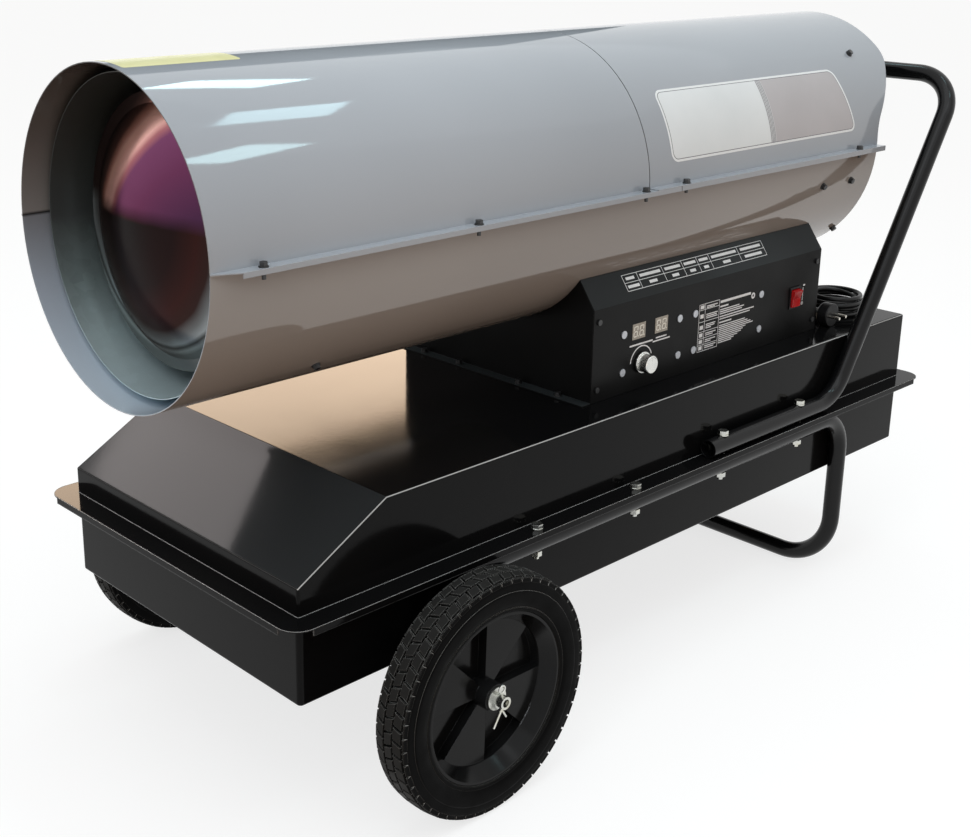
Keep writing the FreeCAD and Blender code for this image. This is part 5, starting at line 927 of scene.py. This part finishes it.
def roundedOutline(left, right, low, high, corner, slant, steps=8):
    # straight left end, right end that leans back towards its top
    def lean(v):
        return right + slant * (1 - v / high) - slant / 2

    points = []
    for cx, cv, first in ((right - corner, low + corner, -90), (right - corner, high - corner, 0),
                          (left + corner, high - corner, 90), (left + corner, low + corner, 180)):
        for i in range(steps + 1):
            turn = math.radians(first + i * 90 / steps)
            x, v = cx + corner * math.cos(turn), cv + corner * math.sin(turn)
            points.append((x + (lean(v) - right if cx > (left + right) / 2 else 0), v))
    return points


def namePlate(setup):
    high = math.radians(setup["high"] - setup["low"]) * setup["radius"]

    def inset(edge):
        return roundedOutline(setup["left"] + edge, setup["right"] - edge, edge, high - edge,
                              setup["corner"] - edge, setup["slant"])

    def lay(name, outline, layer, finish):
        curvedPlate(name, setup, outline, setup["thick"] + layer * setup["layer"], finish)

    lay("plate_edge", inset(0), 0, printedFilm("plate_white_film", "#E9EBEB", "#F0F2F2"))
    dark = printedFilm("plate_dark_film", "#56585B", "#606265")
    lay("plate_line", inset(setup["edge"]), 1, dark)
    edge = setup["edge"] + setup["line"]
    field = inset(edge)
    cut0, cut1 = setup["field"]
    lay("plate_left_field", [(min(x, cut0), v) for x, v in field], 2,
        printedFilm("plate_pale_film", "#DFE3E3", "#E7EAEA"))
    lay("plate_right_field", [(max(x, cut1), v) for x, v in field], 2,
        printedFilm("plate_grey_film", "#B3AFB0", "#BBB7B8"))
    lay("plate_middle_field", rectangle(cut0, edge, cut1, high - edge), 2,
        printedFilm("plate_middle_film", "#C9C9CA", "#D1D1D2"))
    for i, x in enumerate(setup["stripes"]):
        strip = rectangle(x, edge, x + setup["stripeWidth"], high - edge)
        lay("plate_stripe_%d" % (i + 1), strip, 3, dark)


namePlate(plateSetup)

# plain yellow film on top of the tube near the outlet
topFilm = {
    "axis": 683.5, "radius": 195.0, "low": 79.0, "left": -703.75, "right": -552.75, "reach": 60.0,
    "corner": 4.0, "thick": 0.2,
}
curvedPlate("yellow_film", topFilm,
            roundedOutline(topFilm["left"], topFilm["right"], 0, topFilm["reach"], topFilm["corner"], 0),
            topFilm["thick"], printedFilm("yellow_film", "#F4F0B4", "#FAF6C0", 0.2))
print("plate and film laid")


# floor and light
stageSetup = {
    "floorHalf": 40.0, "floorGlow": 0.74, "floorGrey": "#9E9E9D", "bounce": "#C2A896",
    "skyLow": 0.34, "skyHigh": 0.74,
    "flag": ((-0.6, 1.42), (2.8, 2.8)), "flagBack": 2.1,
}


def flatSheet(name, corners, finish):
    data = bpy.data.meshes.new(name)
    data.from_pydata(corners, [], [(0, 1, 2, 3)])
    data.materials.append(finish)
    sheet = bpy.data.objects.new(name, data)
    bpy.context.scene.collection.objects.link(sheet)
    return sheet


def paleFloor(setup):
    # white to the camera and to reflections, a warm bounce to everything else; it keeps the shadow
    finish = bpy.data.materials.new("pale_floor")
    finish.use_nodes = True
    tree = finish.node_tree
    tree.nodes.clear()
    seen = seenRays(tree)
    glow = addNode(tree, "ShaderNodeMath", {0: seen, 1: setup["floorGlow"]}, operation="MULTIPLY")
    skin = addNode(tree, "ShaderNodeMix", {"Factor": seen, "A": linear(setup["bounce"]),
                                           "B": linear(setup["floorGrey"])}, data_type="RGBA")
    body = addNode(tree, "ShaderNodeBsdfDiffuse", {"Color": skin.outputs["Result"]})
    light = addNode(tree, "ShaderNodeEmission", {"Strength": glow.outputs["Value"]})
    both = addNode(tree, "ShaderNodeAddShader", {0: body.outputs["BSDF"], 1: light.outputs["Emission"]})
    addNode(tree, "ShaderNodeOutputMaterial", {"Surface": both.outputs["Shader"]})
    half = setup["floorHalf"]
    floor = flatSheet("floor", [(x, y, 0) for x, y in rectangle(-half, -half, half, half)], finish)


def darkFlag(setup):
    # a black card behind the object, seen only in its reflections, keeps the tank's top dark
    finish, tree, shader, place = newFinish("black_felt", {"Roughness": 1.0, "Specular IOR Level": 0.0})
    tint(tree, shader, grain(tree, place, 20), [(0.3, "#060606"), (0.7, "#0A0A0A")])
    (left, low), (right, high) = setup["flag"]
    corners = [(x, setup["flagBack"], z) for x, z in rectangle(left, low, right, high)]
    flag = flatSheet("dark_flag", corners, finish)
    flag.visible_camera = False
    flag.visible_diffuse = False
    flag.visible_shadow = False


def seenRays(tree):
    # 1 for rays from the camera, from a reflection or through glass
    rays = addNode(tree, "ShaderNodeLightPath").outputs
    seen = rays["Is Camera Ray"]
    for kind in ("Is Glossy Ray", "Is Transmission Ray"):
        either = addNode(tree, "ShaderNodeMath", {0: seen, 1: rays[kind]}, operation="MAXIMUM")
        seen = either.outputs["Value"]
    return seen


def whiteSky(setup):
    world = bpy.data.worlds.new("studio")
    bpy.context.scene.world = world
    world.use_nodes = True
    tree = world.node_tree
    tree.nodes.clear()
    way = addNode(tree, "ShaderNodeTexCoord").outputs["Generated"]
    height = addNode(tree, "ShaderNodeSeparateXYZ", {"Vector": way}).outputs["Z"]
    dome = addNode(tree, "ShaderNodeMapRange", {"Value": height, "To Min": setup["skyLow"],
                                                "To Max": setup["skyHigh"]})
    level = addNode(tree, "ShaderNodeMix", {"Factor": seenRays(tree), "A": dome.outputs["Result"],
                                            "B": 1.0}).outputs["Result"]
    sky = addNode(tree, "ShaderNodeBackground", {"Color": (1, 1, 1, 1), "Strength": level})
    addNode(tree, "ShaderNodeOutputWorld", {"Surface": sky.outputs["Background"]})


# lamps: place, aim and size in metres, colour, the brightness of the face (1 is white), and the nodes that
# a lamp is kept to, where it makes a reflection on those alone
tankOnly = ("tank_cover", "tank_pan")
rimsOnly = ("left_rim", "right_rim")
lamps = {
    "top_softbox": ((-0.5, -0.7, 3.3), (0, 0, 0.6), (2.4, 2.0), "#F2F7FB", 1.1, ()),
    "key_softbox": ((-1.0, -2.1, 3.2), (0, -0.1, 0.6), (5.0, 1.6), "#F4F8FD", 0.62, ()),
    "mouth_light": ((-3.0, -1.0, 2.4), (-0.6, 0, 0.6), (0.9, 0.9), "#E4EEF8", 4.5, ()),
    "sky_panel": ((1.8, 0.2, 3.0), (-0.2, -0.1, 0.6), (4.4, 1.7), "#F4FAFC", 0.2, ()),
    "strip_one": ((0.862, 0.885, 2.756), (-0.61, -0.09, 0.857), (0.50, 0.22), "#C8F2F8", 10.0, ()),
    "strip_two": ((0.977, -0.342, 2.893), (-0.57, -0.133, 0.826), (0.36, 0.34), "#C4EEF8", 7.0, ()),
    "strip_three": ((0.832, -1.282, 2.608), (-0.648, -0.16, 0.795), (0.34, 0.26), "#C8F2F8", 9.0, ()),
    "warm_side": ((0.6, 2.0, 1.14), (0.6, 0, 1.14), (2.04, 0.54), "#F0D0AE", 8.0, tankOnly),
    "slope_panel": ((-0.85, 2.0, 2.05), (-0.85, 0, 2.05), (1.2, 0.9), "#F2E8E6", 8.0, tankOnly),
    "slope_wide": ((-0.65, 2.0, 2.05), (-0.65, 0, 2.05), (1.7, 0.9), "#F2E8E6", 6.0, tankOnly),
    "rim_glint": ((-3.0, -1.0, 2.4), (-0.43, -0.31, 0.15), (1.6, 1.6), "#E4EAF0", 22.0, rimsOnly),
    "warm_low": ((-1.0, -3.0, 0.4), (0, 0, 0.6), (2.4, 0.7), "#E8CDB6", 0.6, ()),
}


def setLamp(name, place, aim, size, colour, level, only):
    data = bpy.data.lights.new(name, "AREA")
    data.shape = "RECTANGLE"
    data.size, data.size_y = size
    data.color = linear(colour)[:3]
    data.energy = level * math.pi * data.size * data.size_y
    lamp = bpy.data.objects.new(name, data)
    way = (Vector(aim) - Vector(place)).normalized()
    lamp.matrix_world = Matrix.Translation(place) @ way.to_track_quat("-Z", "Y").to_matrix().to_4x4()
    lamp.visible_camera = False
    bpy.context.scene.collection.objects.link(lamp)
    if only:
        reach = bpy.data.collections.new(name + "_reach")
        for node in only:
            reach.objects.link(cadNodes[node])
        lamp.light_linking.receiver_collection = reach


paleFloor(stageSetup)
darkFlag(stageSetup)
whiteSky(stageSetup)
for lampName, lampSetup in lamps.items():
    setLamp(lampName, *lampSetup)
bpy.context.scene.view_settings.view_transform = "Standard"
print("stage lit:", len(lamps), "lamps")

bpy.context.view_layer.update()
